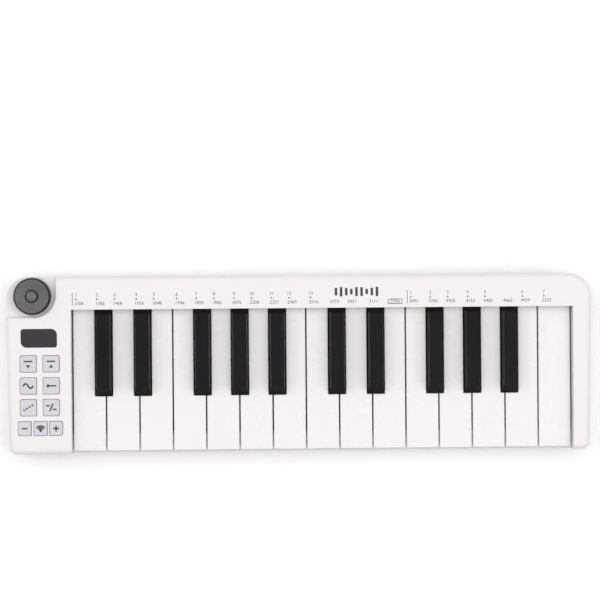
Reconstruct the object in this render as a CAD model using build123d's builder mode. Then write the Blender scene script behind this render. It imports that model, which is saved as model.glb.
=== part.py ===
from build123d import *
import os

# A slim 25-note keyboard controller with mini keys, seen as it stands on a table.
# +X runs along the keys from the low end to the high end, +Y points to the rear,
# +Z is up, and the origin is the middle of the footprint on the table. Millimetres.

os.makedirs("parts", exist_ok=True)

# Case
LENGTH = 325.0  # along the rear edge
FRONT_LENGTH = 321.0  # along the front edge
DEPTH = 98.0
CASE_TOP = 31.0
CASE_BOTTOM = 0.6  # the feet hold the base this far off the table
PARTING = 2.6  # height of the joint between the two shells
REAR_CORNER = 13.3
FRONT_CORNER = 4.3
TOP_ROUND = 3.0
WALL = 2.0
PANEL_UNDERSIDE = CASE_TOP - WALL
PARTING_CHAMFER = 0.25
BASE_ROUND = 0.8
LIP_GAP = 0.1
LIP_WIDTH = 1.2
LIP_HEIGHT = 2.0
BOSS_FOOT = 4.8  # the top shell's bosses and inner walls end here
REAR_FACE = DEPTH / 2
OVERRUN = 1.0  # how far a cut or a joined piece runs past the face it meets

# Key bay
KEY_PITCH = 18.47
KEY_GAP = 0.75
WHITE_COUNT = 15
KEYS_CENTRE_X = 12.57
KEYS_LEFT = KEYS_CENTRE_X - WHITE_COUNT * KEY_PITCH / 2
KEYS_RIGHT = KEYS_CENTRE_X + WHITE_COUNT * KEY_PITCH / 2
BAY_MARGIN = 0.35
BAY_LEFT = KEYS_LEFT - BAY_MARGIN
BAY_RIGHT = KEYS_RIGHT + BAY_MARGIN
BAY_WALL = 1.8
BAY_REAR = 30.7
BAY_LIP_DEPTH = 1.5
BAY_LIP_BOTTOM = 27.6
LEDGE_TOP = 16.4
LEDGE_THICKNESS = 1.8
LEDGE_REAR = -38.6
LEDGE_ROUND = 1.8

# Pivot shared by all keys
PIVOT_Y = 42.5
PIVOT_Z = 18.0
ROD_RADIUS = 1.5
ROD_RUNNING_GAP = 0.06
ROD_SEAT_GAP = 0.03
BARREL_RADIUS = 3.2
BARREL_INSET = 1.6
ARM_HEIGHT = 6.0
TAIL_END = 36.0
ARM_OVERLAP = 1.0

# White keys
WHITE_TOP = 24.0
WHITE_SKIRT = 15.1
WHITE_FRONT = -47.6
WHITE_SHOULDER = -17.4
WHITE_LIP_REAR = -37.9  # the thin front lip overhangs the case's ledge as far as here
WHITE_LIP_BOTTOM = 21.0
WHITE_PLATE = 1.6
WHITE_WALL = 1.3
WHITE_CORNER = 0.6
WHITE_EDGE = 0.45

# Black keys
BLACK_TOP = 32.1
BLACK_SKIRT = 14.75
BLACK_BASE_WIDTH = 8.9
BLACK_GAP = 0.5
BLACK_TOP_WIDTH = 7.1
BLACK_FRONT = -16.9
BLACK_TOP_FRONT = -11.5
BLACK_REAR = 28.2
BLACK_NECK_TOP = 26.0
BLACK_NECK_WIDTH = 8.3
BLACK_EDGE = 0.5
BLACK_WALL = 1.4
BLACK_CORE_TOP = 29.8
BLACK_CORE_WIDTH = 4.0
BLACK_CORE_FRONT = -8.5

# Hooks that hold the keys up, and ribs that press the contact domes
HOOK_WIDTH = 5.6
HOOK_BOTTOM = 6.5
TOE_TOP = 7.9
TOE_LENGTH = 3.5
LEG_THICKNESS = 1.5
WHITE_LEG_Y = -26.5
BLACK_LEG_Y = -6.5
PRESS_RIB_Y = 8.0
PRESS_RIB_DEPTH = 3.0
PRESS_RIB_WIDTH = 4.6
PRESS_RIB_BOTTOM = 13.2

# Key frame
FRAME_LEFT = BAY_LEFT + 0.6
FRAME_RIGHT = BAY_RIGHT - 0.6
FRAME_ARM = 2.0
RAIL_BOTTOM = 8.4
RAIL_TOP = 10.0
FRONT_RAIL = (-37.5, -27.3)
MIDDLE_RAIL = (-15.0, -7.3)
FRONT_SADDLE_REAR = -31.6  # the ribs carry the rails as far back as here
MIDDLE_SADDLE_REAR = -11.4
FRAME_REAR = 45.4
COMB_FRONT = 34.0
COMB_TOP = 9.0
EAR_THICKNESS = 1.6
EAR_WIDTH = 6.8
EAR_RADIUS = 3.4
END_EAR = 1.2
FRAME_RIB = 2.0
FRAME_RIB_TOP = 7.4
RIB_PLACES = (3, 7, 10, 14)  # gaps between white keys that hold no black key
FRAME_POST_Y = -34.8
FRAME_POST_RADIUS = 3.0
COMB_SCREW_Y = 39.0
CONTACT_PILOT_FLOOR = 0.8
PILOT_DEPTH_GAP = 0.2

# Key contacts
CONTACT_BOARD_TOP = 9.0
CONTACT_BOARD = (1.0, 28.0)
CONTACT_POST_Y = 24.0
CONTACT_POST_RADIUS = 2.4
DOME_SHEET_TOP = 9.7
DOME_TOP = 13.0
DOME_BASE_RADIUS = 3.6
DOME_TOP_RADIUS = 2.0
DOME_SHEET_INSET = 2.4
DOME_SHEET_HALF = 5.0
FELT_THICKNESS = 1.4
FELT_UNDER = 0.4
FELT_INSET = 1.5
FELT_STEP = 1.0
FRONT_FELT = (-36.5, -29.0)
MIDDLE_FELT = (-14.5, -9.0)
FRONT_UNDER_FELT = (-31.2, -27.5)
MIDDLE_UNDER_FELT = (-11.0, -7.6)

# Knob recess and rotary encoder
RECESS_FLOOR = 26.8
RECESS_X = -134.3
RECESS_Y = 26.3
RECESS_RADIUS = 12.5
KNOB_X = -147.3
KNOB_Y = 38.2
KNOB_RADIUS = 10.25
KNOB_BOTTOM = 27.4
KNOB_TOP = 34.9
KNOB_CHAMFER = 0.7
KNOB_NUB_RADIUS = 3.0
KNOB_NUB_TOP = 35.7
KNOB_NUB_EDGE = 0.6
KNOB_GROOVES = 48
KNOB_GROOVE_RADIUS = 0.32
KNOB_SKIRT = 1.4
KNOB_CAVITY_TOP = 31.6
KNOB_SLEEVE_RADIUS = 4.6
SHAFT_RADIUS = 3.0
SHAFT_TOP = 33.4
SHAFT_BOTTOM = 17.6
SHAFT_COLLAR_RADIUS = 3.8
SHAFT_COLLAR_TOP = 19.6
SHAFT_GAP = 0.05
SHAFT_SEAT_GAP = 0.02
SHAFT_END_GAP = 0.1
ENCODER_WIDTH = 12.4
ENCODER_DEPTH = 13.2
ENCODER_TOP = 21.6
ENCODER_CAVITY = (15.9, 20.3)
ENCODER_CAVITY_RADIUS = 4.2
BUSHING_RADIUS = 3.5
BUSHING_TOP = 26.6
PLUNGER = (16.6, 17.5)
PLUNGER_RADIUS = 3.6
PLUNGER_CHAMFER = 0.2

# Display
DISPLAY_CENTRE = (-143.9, 15.15)
DISPLAY_SIZE = (19.9, 10.3)
DISPLAY_SMALL_CORNER = 1.4
DISPLAY_LARGE_CORNER = 3.3
LENS_TOP = 30.9
LENS_BOTTOM = 28.8
LENS_GAP = 0.12
LENS_CHAMFER = 0.15
MODULE_SIZE = (24.0, 14.6)

# Buttons: name, centre x, centre y, which side is rounded (-1 left, 0 none, 1 right)
BIG_BUTTON = (8.9, 9.0)
SMALL_BUTTON = (7.1, 7.7)
BIG_BUTTONS = (
    ("button_pitch_down", -149.8, 1.1, -1),
    ("button_pitch_up", -137.2, 1.1, 1),
    ("button_modulation", -149.8, -11.0, -1),
    ("button_sustain", -137.2, -11.0, 1),
    ("button_arpeggio", -149.8, -22.95, -1),
    ("button_scale", -137.2, -22.95, 1),
)
SMALL_BUTTONS = (
    ("button_octave_down", -151.9, -34.4, -1),
    ("button_wireless", -143.2, -34.4, 0),
    ("button_octave_up", -134.7, -34.4, 1),
)
BUTTON_TOP = 31.8
BUTTON_OUTER_CORNER = 1.4
BUTTON_INNER_CORNER = 0.4
BUTTON_EDGE = 0.35
BUTTON_GAP = 0.25
BUTTON_SKIRT = 0.7
BUTTON_SKIRT_TOP = 28.9
BUTTON_SKIRT_BOTTOM = 27.8
BUTTON_STEM_RADIUS = 2.0
BUTTON_STEM_BOTTOM = 26.4

# Boards on the control side
BOARD_THICKNESS = 1.6
BOARD_GAP = 0.2
PANEL_BOARD_TOP = 24.0
PANEL_BOARD_BOTTOM = PANEL_BOARD_TOP - BOARD_THICKNESS
PANEL_BOARD_X = (-158.2, -128.7)
PANEL_BOARD_Y = (-40.0, 22.8)
MAT_TOP = 24.7
MAT_DOME_TOP = 26.3
MAT_DOME_RADIUS = 2.3
MAT_DOME_TAPER = 20.0  # degrees
MAT_X = (-155.0, -132.0)
MAT_Y = (-39.4, 6.6)
MAIN_BOARD_TOP = 15.07
MAIN_BOARD_BOTTOM = MAIN_BOARD_TOP - BOARD_THICKNESS
MAIN_BOARD_LEFT = -158.0
MAIN_BOARD_RIGHT = -130.4
MAIN_BOARD_FRONT = 2.0
MAIN_BOARD_REAR = 46.3
MAIN_BOARD_STEP_X = -134.0
MAIN_BOARD_STEP_Y = 24.0
MAIN_BOARD_CORNER = 11.5
WIRELESS_X = (-149.0, -137.0)
WIRELESS_Y = (7.0, 20.0)
WIRELESS_HEIGHT = 2.2
WIRELESS_CORNER = 0.6
WIRELESS_CHAMFER = 0.3

# Rear socket and its light
SOCKET_X = -135.2
SOCKET_Z = 16.7
SOCKET_SHELL = (8.94, 3.26)
SOCKET_MOUTH = (8.34, 2.56)
SOCKET_TONGUE = (6.69, 0.7)
SOCKET_LENGTH = 7.3
SOCKET_BACK = 0.8
TONGUE_INSET = 0.8
SOCKET_GAP = 0.08
SOCKET_RECESS = (15.8, 8.2)
SOCKET_RECESS_X = -136.5
SOCKET_RECESS_DEPTH = 1.0
LIGHT_X = -141.7
LIGHT_RADIUS = 0.5
LIGHT_LENGTH = 3.0

# Power slider on the left side
SLIDER_Y = 19.0
SLIDER_Z = 14.3
SLIDER_SIZE = (3.0, 2.9)
SLIDER_TRAVEL = 2.0
SLIDER_GAP = 0.25
SLIDER_TIP_X = -163.3
SLIDER_DEPTH = 2.6  # how far the slider reaches into the switch
SLIDER_EDGE = 0.4
SWITCH_SLOT_DEPTH = 3.0
SWITCH_GAP = 0.1
SWITCH_X = (-158.3, -154.4)
SWITCH_Y = (14.8, 25.2)
SWITCH_Z = (12.2, 16.4)

# Screws
CASE_BOSS_RADIUS = 2.9
CASE_POST_RADIUS = 2.3
CASE_SCREWS = (
    (-155.8, -44.0),
    (-131.2, -44.0),
    (-128.9, -8.0),
    (155.9, -43.5),
    (156.6, 2.0),
    (157.2, 30.0),
)
CASE_SCREW_TIP = 11.0
FRAME_SCREW_TIP = 7.8
SCREW_RADIUS = 1.15
SCREW_HEAD_RADIUS = 2.2
SCREW_HEAD = 1.2
SCREW_DRIVE_RADIUS = 1.0
SCREW_DRIVE_DEPTH = 0.8
SCREW_SLOT = 0.45
SCREW_CLEARANCE = 0.2
PILOT_GAP = 0.03
COUNTERBORE_RADIUS = 2.5
COUNTERBORE_DEPTH = 1.4
SMALL_SCREW_RADIUS = 0.8
SMALL_HEAD_RADIUS = 1.7
SMALL_HEAD = 1.1
SHORT_SHANK = 5.0
LONG_SHANK = 6.0
BOARD_BOSS_RADIUS = 1.6
PANEL_SCREWS = ((-156.8, 6.0), (-156.8, -17.0), (-130.2, 4.0), (-130.2, -17.0))
MAIN_SCREWS = ((-153.0, 8.0), (-134.5, 30.0))
MAIN_POST_RADIUS = 2.4

# Feet and battery
FOOT_SIZE = (22.0, 7.0)
FOOT_PLACES = ((-138.0, 37.0), (147.0, 37.0), (-138.0, -36.5), (147.0, -36.5))
FOOT_SEAT = 1.0
FOOT_GAP = 0.1
FOOT_CHAMFER = 0.3
BATTERY_X = (-156.0, -133.0)
BATTERY_Y = (-39.0, -3.0)
BATTERY_TOP = 10.6
BATTERY_EDGE = 2.5
BATTERY_GAP = 0.2
BATTERY_RIB = 1.2
BATTERY_RIB_HEIGHT = 3.0

# Flat cable
RIBBON_Y = (13.0, 23.0)
RIBBON_START_X = FRAME_LEFT + 8.0
RIBBON_TURN_X = -131.5
RIBBON_END_X = -138.5
RIBBON_LOW = 9.2
RIBBON_HIGH = 13.0
RIBBON_BEND = 1.6
RIBBON_THICKNESS = 0.3
RIBBON_SLOT_Y = (12.5, 23.5)
RIBBON_SLOT_Z = (8.6, 10.4)

NATURALS = "cdefgab"
SHARP_SHIFT = {"c": -1.3, "d": 1.8, "f": -2.1, "g": 0.2, "a": 2.5}

# Where each key lies: whites as (name, left, right), sharps as (name, left, right)
whites = []
sharps = {}
for i in range(WHITE_COUNT):
    letter = NATURALS[i % 7]
    octave = i // 7 + 1
    key_left = KEYS_LEFT + i * KEY_PITCH + KEY_GAP / 2
    whites.append((f"white_key_{letter}{octave}", key_left, key_left + KEY_PITCH - KEY_GAP))
    if letter in SHARP_SHIFT and i < WHITE_COUNT - 1:
        sharp_x = KEYS_LEFT + (i + 1) * KEY_PITCH + SHARP_SHIFT[letter]
        sharps[i] = (
            f"black_key_{letter}_sharp{octave}",
            sharp_x - BLACK_BASE_WIDTH / 2,
            sharp_x + BLACK_BASE_WIDTH / 2,
        )

# The narrow rear part of each key, in order along the pivot rod
tails = []
for i, (name, left, right) in enumerate(whites):
    tail_left = sharps[i - 1][2] + BLACK_GAP if i - 1 in sharps else left
    tail_right = sharps[i][1] - BLACK_GAP if i in sharps else right
    tails.append((name, tail_left, tail_right))
    if i in sharps:
        tails.append(sharps[i])
tail_span = {name: (left, right) for name, left, right in tails}
rib_xs = [KEYS_LEFT + place * KEY_PITCH for place in RIB_PLACES]
frame_screws = [(x, FRAME_POST_Y) for x in rib_xs] + [(x, COMB_SCREW_Y) for x in rib_xs]
buttons = [(*button, BIG_BUTTON) for button in BIG_BUTTONS]
buttons += [(*button, SMALL_BUTTON) for button in SMALL_BUTTONS]


def draw_outline(inset):
    """Draw the case's plan, which narrows towards the front, moved in by inset."""
    rear = LENGTH / 2 - inset
    front = FRONT_LENGTH / 2 - inset
    edge = DEPTH / 2 - inset
    Polygon((-rear, edge), (rear, edge), (front, -edge), (-front, -edge), align=None)
    fillet(vertices().group_by(Axis.Y)[-1], REAR_CORNER - inset)
    fillet(vertices().group_by(Axis.Y)[0], FRONT_CORNER - inset)


def at_height(x, y, height):
    """Give the horizontal plane at a height, with its origin above the point x, y."""
    return Plane.XY.move(Location((x, y, height)))


def draw_span(x_span, y_span, mode=Mode.ADD):
    """Draw a rectangle between two x values and two y values."""
    with Locations(((x_span[0] + x_span[1]) / 2, (y_span[0] + y_span[1]) / 2)):
        Rectangle(x_span[1] - x_span[0], y_span[1] - y_span[0], mode=mode)


def draw_cavity(keeps_recess):
    """Draw the hollow inside the top shell, around its inner walls and bosses."""
    draw_outline(WALL)
    draw_span((BAY_LEFT - BAY_WALL, BAY_LEFT), (-REAR_FACE, BAY_REAR), Mode.SUBTRACT)
    draw_span((BAY_RIGHT, BAY_RIGHT + BAY_WALL), (-REAR_FACE, BAY_REAR), Mode.SUBTRACT)
    with Locations(*CASE_SCREWS):
        Circle(CASE_BOSS_RADIUS, mode=Mode.SUBTRACT)
    if keeps_recess:
        wall_y = RECESS_Y - WALL
        draw_span((-LENGTH / 2, RECESS_X + WALL), (wall_y, REAR_FACE), Mode.SUBTRACT)


def draw_sided_rectangle(width, height, side):
    """Draw a button's outline, with large corners on one side (-1 left, 1 right)."""
    Rectangle(width, height)
    left_radius = BUTTON_OUTER_CORNER if side < 0 else BUTTON_INNER_CORNER
    right_radius = BUTTON_OUTER_CORNER if side > 0 else BUTTON_INNER_CORNER
    fillet(vertices().group_by(Axis.X)[0], left_radius)
    fillet(vertices().group_by(Axis.X)[-1], right_radius)


def draw_display(gap):
    """Draw the display window, whose two opposite corners are rounder."""
    Rectangle(DISPLAY_SIZE[0] - 2 * gap, DISPLAY_SIZE[1] - 2 * gap)
    corner_radii = (
        (-1, -1, DISPLAY_LARGE_CORNER),
        (1, 1, DISPLAY_LARGE_CORNER),
        (-1, 1, DISPLAY_SMALL_CORNER),
        (1, -1, DISPLAY_SMALL_CORNER),
    )
    for x_side, y_side, radius in corner_radii:
        corner = vertices().sort_by(lambda v: v.X * x_side + v.Y * y_side)[-1]
        fillet(corner, radius - gap)


def draw_battery(margin, mode):
    """Draw the battery's outline, widened by a margin on every side."""
    with Locations((sum(BATTERY_X) / 2, sum(BATTERY_Y) / 2)):
        width = BATTERY_X[1] - BATTERY_X[0] + 2 * margin
        depth = BATTERY_Y[1] - BATTERY_Y[0] + 2 * margin
        Rectangle(width, depth, mode=mode)


# Top shell
with BuildPart() as top_case:
    with BuildSketch(Plane.XY.offset(PARTING)):
        draw_outline(0)
    extrude(amount=CASE_TOP - PARTING)
    fillet(top_case.faces().sort_by(Axis.Z)[-1].edges(), TOP_ROUND)
    chamfer(top_case.faces().sort_by(Axis.Z)[0].edges(), PARTING_CHAMFER)
    # The hollow, in three storeys
    with BuildSketch(Plane.XY.offset(PARTING)):
        draw_outline(WALL)
    extrude(amount=BOSS_FOOT - PARTING, mode=Mode.SUBTRACT)
    with BuildSketch(Plane.XY.offset(BOSS_FOOT)):
        draw_cavity(False)
    extrude(amount=RECESS_FLOOR - WALL - BOSS_FOOT, mode=Mode.SUBTRACT)
    with BuildSketch(Plane.XY.offset(RECESS_FLOOR - WALL)):
        draw_cavity(True)
    extrude(amount=PANEL_UNDERSIDE - RECESS_FLOOR + WALL, mode=Mode.SUBTRACT)
    # The lip over the rear of the keys, the front ledge and the panel board's bosses
    with BuildSketch(Plane.XY.offset(BAY_LIP_BOTTOM)):
        draw_span((BAY_LEFT - BAY_WALL, BAY_RIGHT + BAY_WALL), (BAY_REAR, BAY_REAR + BAY_LIP_DEPTH))
    extrude(amount=CASE_TOP - OVERRUN - BAY_LIP_BOTTOM)
    with BuildSketch(Plane.XY.offset(LEDGE_TOP - LEDGE_THICKNESS)):
        draw_span((BAY_LEFT - OVERRUN, BAY_RIGHT + OVERRUN), (WALL / 2 - REAR_FACE, LEDGE_REAR))
    extrude(amount=LEDGE_THICKNESS)
    with BuildSketch(Plane.XY.offset(PANEL_BOARD_TOP)):
        with Locations(*PANEL_SCREWS):
            Circle(BOARD_BOSS_RADIUS)
    extrude(amount=PANEL_UNDERSIDE + OVERRUN - PANEL_BOARD_TOP)
    # The key bay, open to the front above the ledge
    with BuildSketch(Plane.YZ.offset(BAY_LEFT)):
        with BuildLine():
            Polyline(
                (-REAR_FACE, LEDGE_TOP - LEDGE_ROUND),
                (-REAR_FACE - OVERRUN, LEDGE_TOP - LEDGE_ROUND),
                (-REAR_FACE - OVERRUN, CASE_TOP + OVERRUN),
                (BAY_REAR, CASE_TOP + OVERRUN),
                (BAY_REAR, PARTING),
                (LEDGE_REAR, PARTING),
                (LEDGE_REAR, LEDGE_TOP),
                (LEDGE_ROUND - REAR_FACE, LEDGE_TOP),
            )
            RadiusArc(
                (LEDGE_ROUND - REAR_FACE, LEDGE_TOP),
                (-REAR_FACE, LEDGE_TOP - LEDGE_ROUND),
                -LEDGE_ROUND,
            )
        make_face()
    extrude(amount=BAY_RIGHT - BAY_LEFT, mode=Mode.SUBTRACT)
    # The knob's recess, open to the rear and to the left
    with BuildSketch(Plane.XY.offset(RECESS_FLOOR)):
        draw_span((-LENGTH / 2 - OVERRUN, RECESS_X), (RECESS_Y, REAR_FACE + OVERRUN))
        fillet(vertices().sort_by(Axis.X)[-2:].sort_by(Axis.Y)[0], RECESS_RADIUS)
    extrude(amount=CASE_TOP, mode=Mode.SUBTRACT)
    with BuildSketch(Plane.XY.offset(RECESS_FLOOR - WALL)):
        with Locations((KNOB_X, KNOB_Y)):
            Circle(BUSHING_RADIUS + SHAFT_GAP)
    extrude(amount=CASE_TOP, mode=Mode.SUBTRACT)
    # Openings for the display and the buttons
    with BuildSketch(Plane.XY.offset(PANEL_UNDERSIDE - OVERRUN)):
        with Locations(DISPLAY_CENTRE):
            draw_display(0)
    extrude(amount=CASE_TOP, mode=Mode.SUBTRACT)
    for _, x, y, side, size in buttons:
        with BuildSketch(at_height(x, y, PANEL_UNDERSIDE - OVERRUN)):
            draw_sided_rectangle(size[0] + 2 * BUTTON_GAP, size[1] + 2 * BUTTON_GAP, side)
        extrude(amount=CASE_TOP, mode=Mode.SUBTRACT)
    # The socket's recess and opening, and the light's hole
    with BuildSketch(Plane.XZ.offset(-REAR_FACE)):
        with Locations((SOCKET_RECESS_X, SOCKET_Z)):
            SlotOverall(*SOCKET_RECESS)
    extrude(amount=SOCKET_RECESS_DEPTH, mode=Mode.SUBTRACT)
    with BuildSketch(Plane.XZ.offset(-REAR_FACE)):
        with Locations((SOCKET_X, SOCKET_Z)):
            SlotOverall(SOCKET_SHELL[0] + 2 * SOCKET_GAP, SOCKET_SHELL[1] + 2 * SOCKET_GAP)
        with Locations((LIGHT_X, SOCKET_Z)):
            Circle(LIGHT_RADIUS + PILOT_GAP)
    extrude(amount=2 * WALL, mode=Mode.SUBTRACT)
    # The power slider's slot and the flat cable's slot
    with BuildSketch(Plane.YZ.offset(-LENGTH / 2 - OVERRUN)):
        with Locations((SLIDER_Y + SLIDER_TRAVEL / 2, SLIDER_Z)):
            Rectangle(SLIDER_SIZE[0] + SLIDER_TRAVEL + 2 * SLIDER_GAP, SLIDER_SIZE[1] + 2 * SLIDER_GAP)
    extrude(amount=2 * WALL + OVERRUN, mode=Mode.SUBTRACT)
    with BuildSketch(Plane.YZ.offset(BAY_LEFT - 2 * BAY_WALL)):
        draw_span(RIBBON_SLOT_Y, RIBBON_SLOT_Z)
    extrude(amount=3 * BAY_WALL, mode=Mode.SUBTRACT)
    # Pilot holes
    with BuildSketch(Plane.XY.offset(BOSS_FOOT)):
        with Locations(*CASE_SCREWS):
            Circle(SCREW_RADIUS + PILOT_GAP)
    extrude(amount=CASE_SCREW_TIP - BOSS_FOOT + OVERRUN, mode=Mode.SUBTRACT)
    with BuildSketch(Plane.XY.offset(PANEL_BOARD_TOP)):
        with Locations(*PANEL_SCREWS):
            Circle(SMALL_SCREW_RADIUS + PILOT_GAP)
    extrude(amount=PANEL_UNDERSIDE - PANEL_BOARD_TOP - OVERRUN, mode=Mode.SUBTRACT)
top_case.part.label = "top_case"
export_step(top_case.part, "parts/top_case.step")

# Bottom shell
with BuildPart() as bottom_case:
    with BuildSketch(Plane.XY.offset(CASE_BOTTOM)):
        draw_outline(0)
    extrude(amount=PARTING - CASE_BOTTOM)
    chamfer(bottom_case.faces().sort_by(Axis.Z)[-1].edges(), PARTING_CHAMFER)
    fillet(bottom_case.faces().sort_by(Axis.Z)[0].edges(), BASE_ROUND)
    with BuildSketch(Plane.XY.offset(PARTING)):
        draw_outline(WALL + LIP_GAP)
        offset(amount=-LIP_WIDTH, mode=Mode.SUBTRACT)
        with Locations(*CASE_SCREWS):
            Circle(CASE_POST_RADIUS)
    extrude(amount=LIP_HEIGHT)
    with BuildSketch(Plane.XY.offset(PARTING)):
        with Locations(*MAIN_SCREWS):
            Circle(MAIN_POST_RADIUS)
    extrude(amount=MAIN_BOARD_BOTTOM - PARTING)
    # Ribs that keep the battery in place
    with BuildSketch(Plane.XY.offset(PARTING)):
        draw_battery(BATTERY_GAP + BATTERY_RIB, Mode.ADD)
        draw_battery(BATTERY_GAP, Mode.SUBTRACT)
    extrude(amount=BATTERY_RIB_HEIGHT)
    # Screw holes with their counterbores, seats for the feet, pilot holes
    with BuildSketch(Plane.XY.offset(CASE_BOTTOM)):
        with Locations(*CASE_SCREWS, *frame_screws):
            Circle(SCREW_RADIUS + SCREW_CLEARANCE)
    extrude(amount=BOSS_FOOT, mode=Mode.SUBTRACT)
    with BuildSketch(Plane.XY.offset(CASE_BOTTOM)):
        with Locations(*CASE_SCREWS, *frame_screws):
            Circle(COUNTERBORE_RADIUS)
    extrude(amount=COUNTERBORE_DEPTH, mode=Mode.SUBTRACT)
    with BuildSketch(Plane.XY.offset(CASE_BOTTOM)):
        with Locations(*FOOT_PLACES):
            SlotOverall(*FOOT_SIZE)
    extrude(amount=FOOT_SEAT, mode=Mode.SUBTRACT)
    with BuildSketch(Plane.XY.offset(PARTING + OVERRUN)):
        with Locations(*MAIN_SCREWS):
            Circle(SMALL_SCREW_RADIUS + PILOT_GAP)
    extrude(amount=MAIN_BOARD_BOTTOM, mode=Mode.SUBTRACT)
bottom_case.part.label = "bottom_case"
export_step(bottom_case.part, "parts/bottom_case.step")

with BuildPart() as rubber_feet:
    with BuildSketch():
        with Locations(*FOOT_PLACES):
            SlotOverall(FOOT_SIZE[0] - 2 * FOOT_GAP, FOOT_SIZE[1] - 2 * FOOT_GAP)
    extrude(amount=CASE_BOTTOM + FOOT_SEAT)
    chamfer(rubber_feet.faces().group_by(Axis.Z)[0].edges(), FOOT_CHAMFER)
rubber_feet.part.label = "rubber_feet"
export_step(rubber_feet.part, "parts/rubber_feet.step")


def add_pivot_end(left, right):
    """Add the narrow arm behind a key and its barrel, bored for the pivot rod."""
    arm_left = left + BARREL_INSET
    arm_width = right - left - 2 * BARREL_INSET
    with BuildSketch(Plane.YZ.offset(arm_left)) as arm:
        draw_span((TAIL_END - ARM_OVERLAP, PIVOT_Y), (PIVOT_Z - ARM_HEIGHT / 2, PIVOT_Z + ARM_HEIGHT / 2))
        with Locations((PIVOT_Y, PIVOT_Z)):
            Circle(BARREL_RADIUS)
    extrude(arm.sketch, amount=arm_width)
    with BuildSketch(Plane.YZ.offset(arm_left)) as bore:
        with Locations((PIVOT_Y, PIVOT_Z)):
            Circle(ROD_RADIUS + ROD_RUNNING_GAP)
    extrude(bore.sketch, amount=arm_width, mode=Mode.SUBTRACT)


def add_hook(centre, leg_y, top):
    """Add the leg below a key, with the toe that stops it from rising."""
    leg_rear = leg_y + LEG_THICKNESS
    toe_front = leg_y - TOE_LENGTH
    with BuildSketch(Plane.YZ.offset(centre - HOOK_WIDTH / 2)) as hook:
        draw_span((leg_y, leg_rear), (HOOK_BOTTOM, top))
        draw_span((toe_front, leg_rear), (HOOK_BOTTOM, TOE_TOP))
    extrude(hook.sketch, amount=HOOK_WIDTH)


def add_press_rib(centre, top):
    """Add the rib below a key that presses its contact dome."""
    with BuildSketch(Plane.XY.offset(PRESS_RIB_BOTTOM)) as rib:
        with Locations((centre, PRESS_RIB_Y)):
            Rectangle(PRESS_RIB_WIDTH, PRESS_RIB_DEPTH)
    extrude(rib.sketch, amount=top - PRESS_RIB_BOTTOM)


# White keys: a wide front, and a tail that fits between the black keys
for name, left, right in whites:
    tail_left, tail_right = tail_span[name]
    plate_bottom = WHITE_TOP - WHITE_PLATE
    with BuildPart() as white_key:
        with BuildSketch(Plane.XY.offset(WHITE_SKIRT)):
            draw_span((left, right), (WHITE_FRONT, WHITE_SHOULDER))
            draw_span((tail_left, tail_right), (WHITE_SHOULDER, TAIL_END))
            fillet(vertices().group_by(Axis.Y)[0], WHITE_CORNER)
        extrude(amount=WHITE_TOP - WHITE_SKIRT)
        fillet(white_key.faces().sort_by(Axis.Z)[-1].edges(), WHITE_EDGE)
        with BuildSketch(Plane.XY.offset(WHITE_SKIRT)):
            draw_span(
                (left + WHITE_WALL, right - WHITE_WALL),
                (WHITE_FRONT + WHITE_WALL, WHITE_SHOULDER - WHITE_WALL),
            )
            draw_span(
                (tail_left + WHITE_WALL, tail_right - WHITE_WALL),
                (WHITE_SHOULDER - WHITE_WALL, TAIL_END - 2 * WHITE_WALL),
            )
        extrude(amount=plate_bottom - WHITE_SKIRT, mode=Mode.SUBTRACT)
        with BuildSketch(Plane.XY.offset(WHITE_SKIRT)):
            draw_span((left, right), (WHITE_FRONT - OVERRUN, WHITE_LIP_REAR))
        extrude(amount=WHITE_LIP_BOTTOM - WHITE_SKIRT, mode=Mode.SUBTRACT)
        with BuildSketch(Plane.XY.offset(WHITE_SKIRT)):
            draw_span((left, right), (WHITE_LIP_REAR, WHITE_LIP_REAR + WHITE_WALL))
        extrude(amount=plate_bottom - WHITE_SKIRT)
        add_hook((left + right) / 2, WHITE_LEG_Y, plate_bottom)
        add_press_rib((tail_left + tail_right) / 2, plate_bottom)
        add_pivot_end(tail_left, tail_right)
    white_key.part.label = name
    export_step(white_key.part, f"parts/{name}.step")

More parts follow.
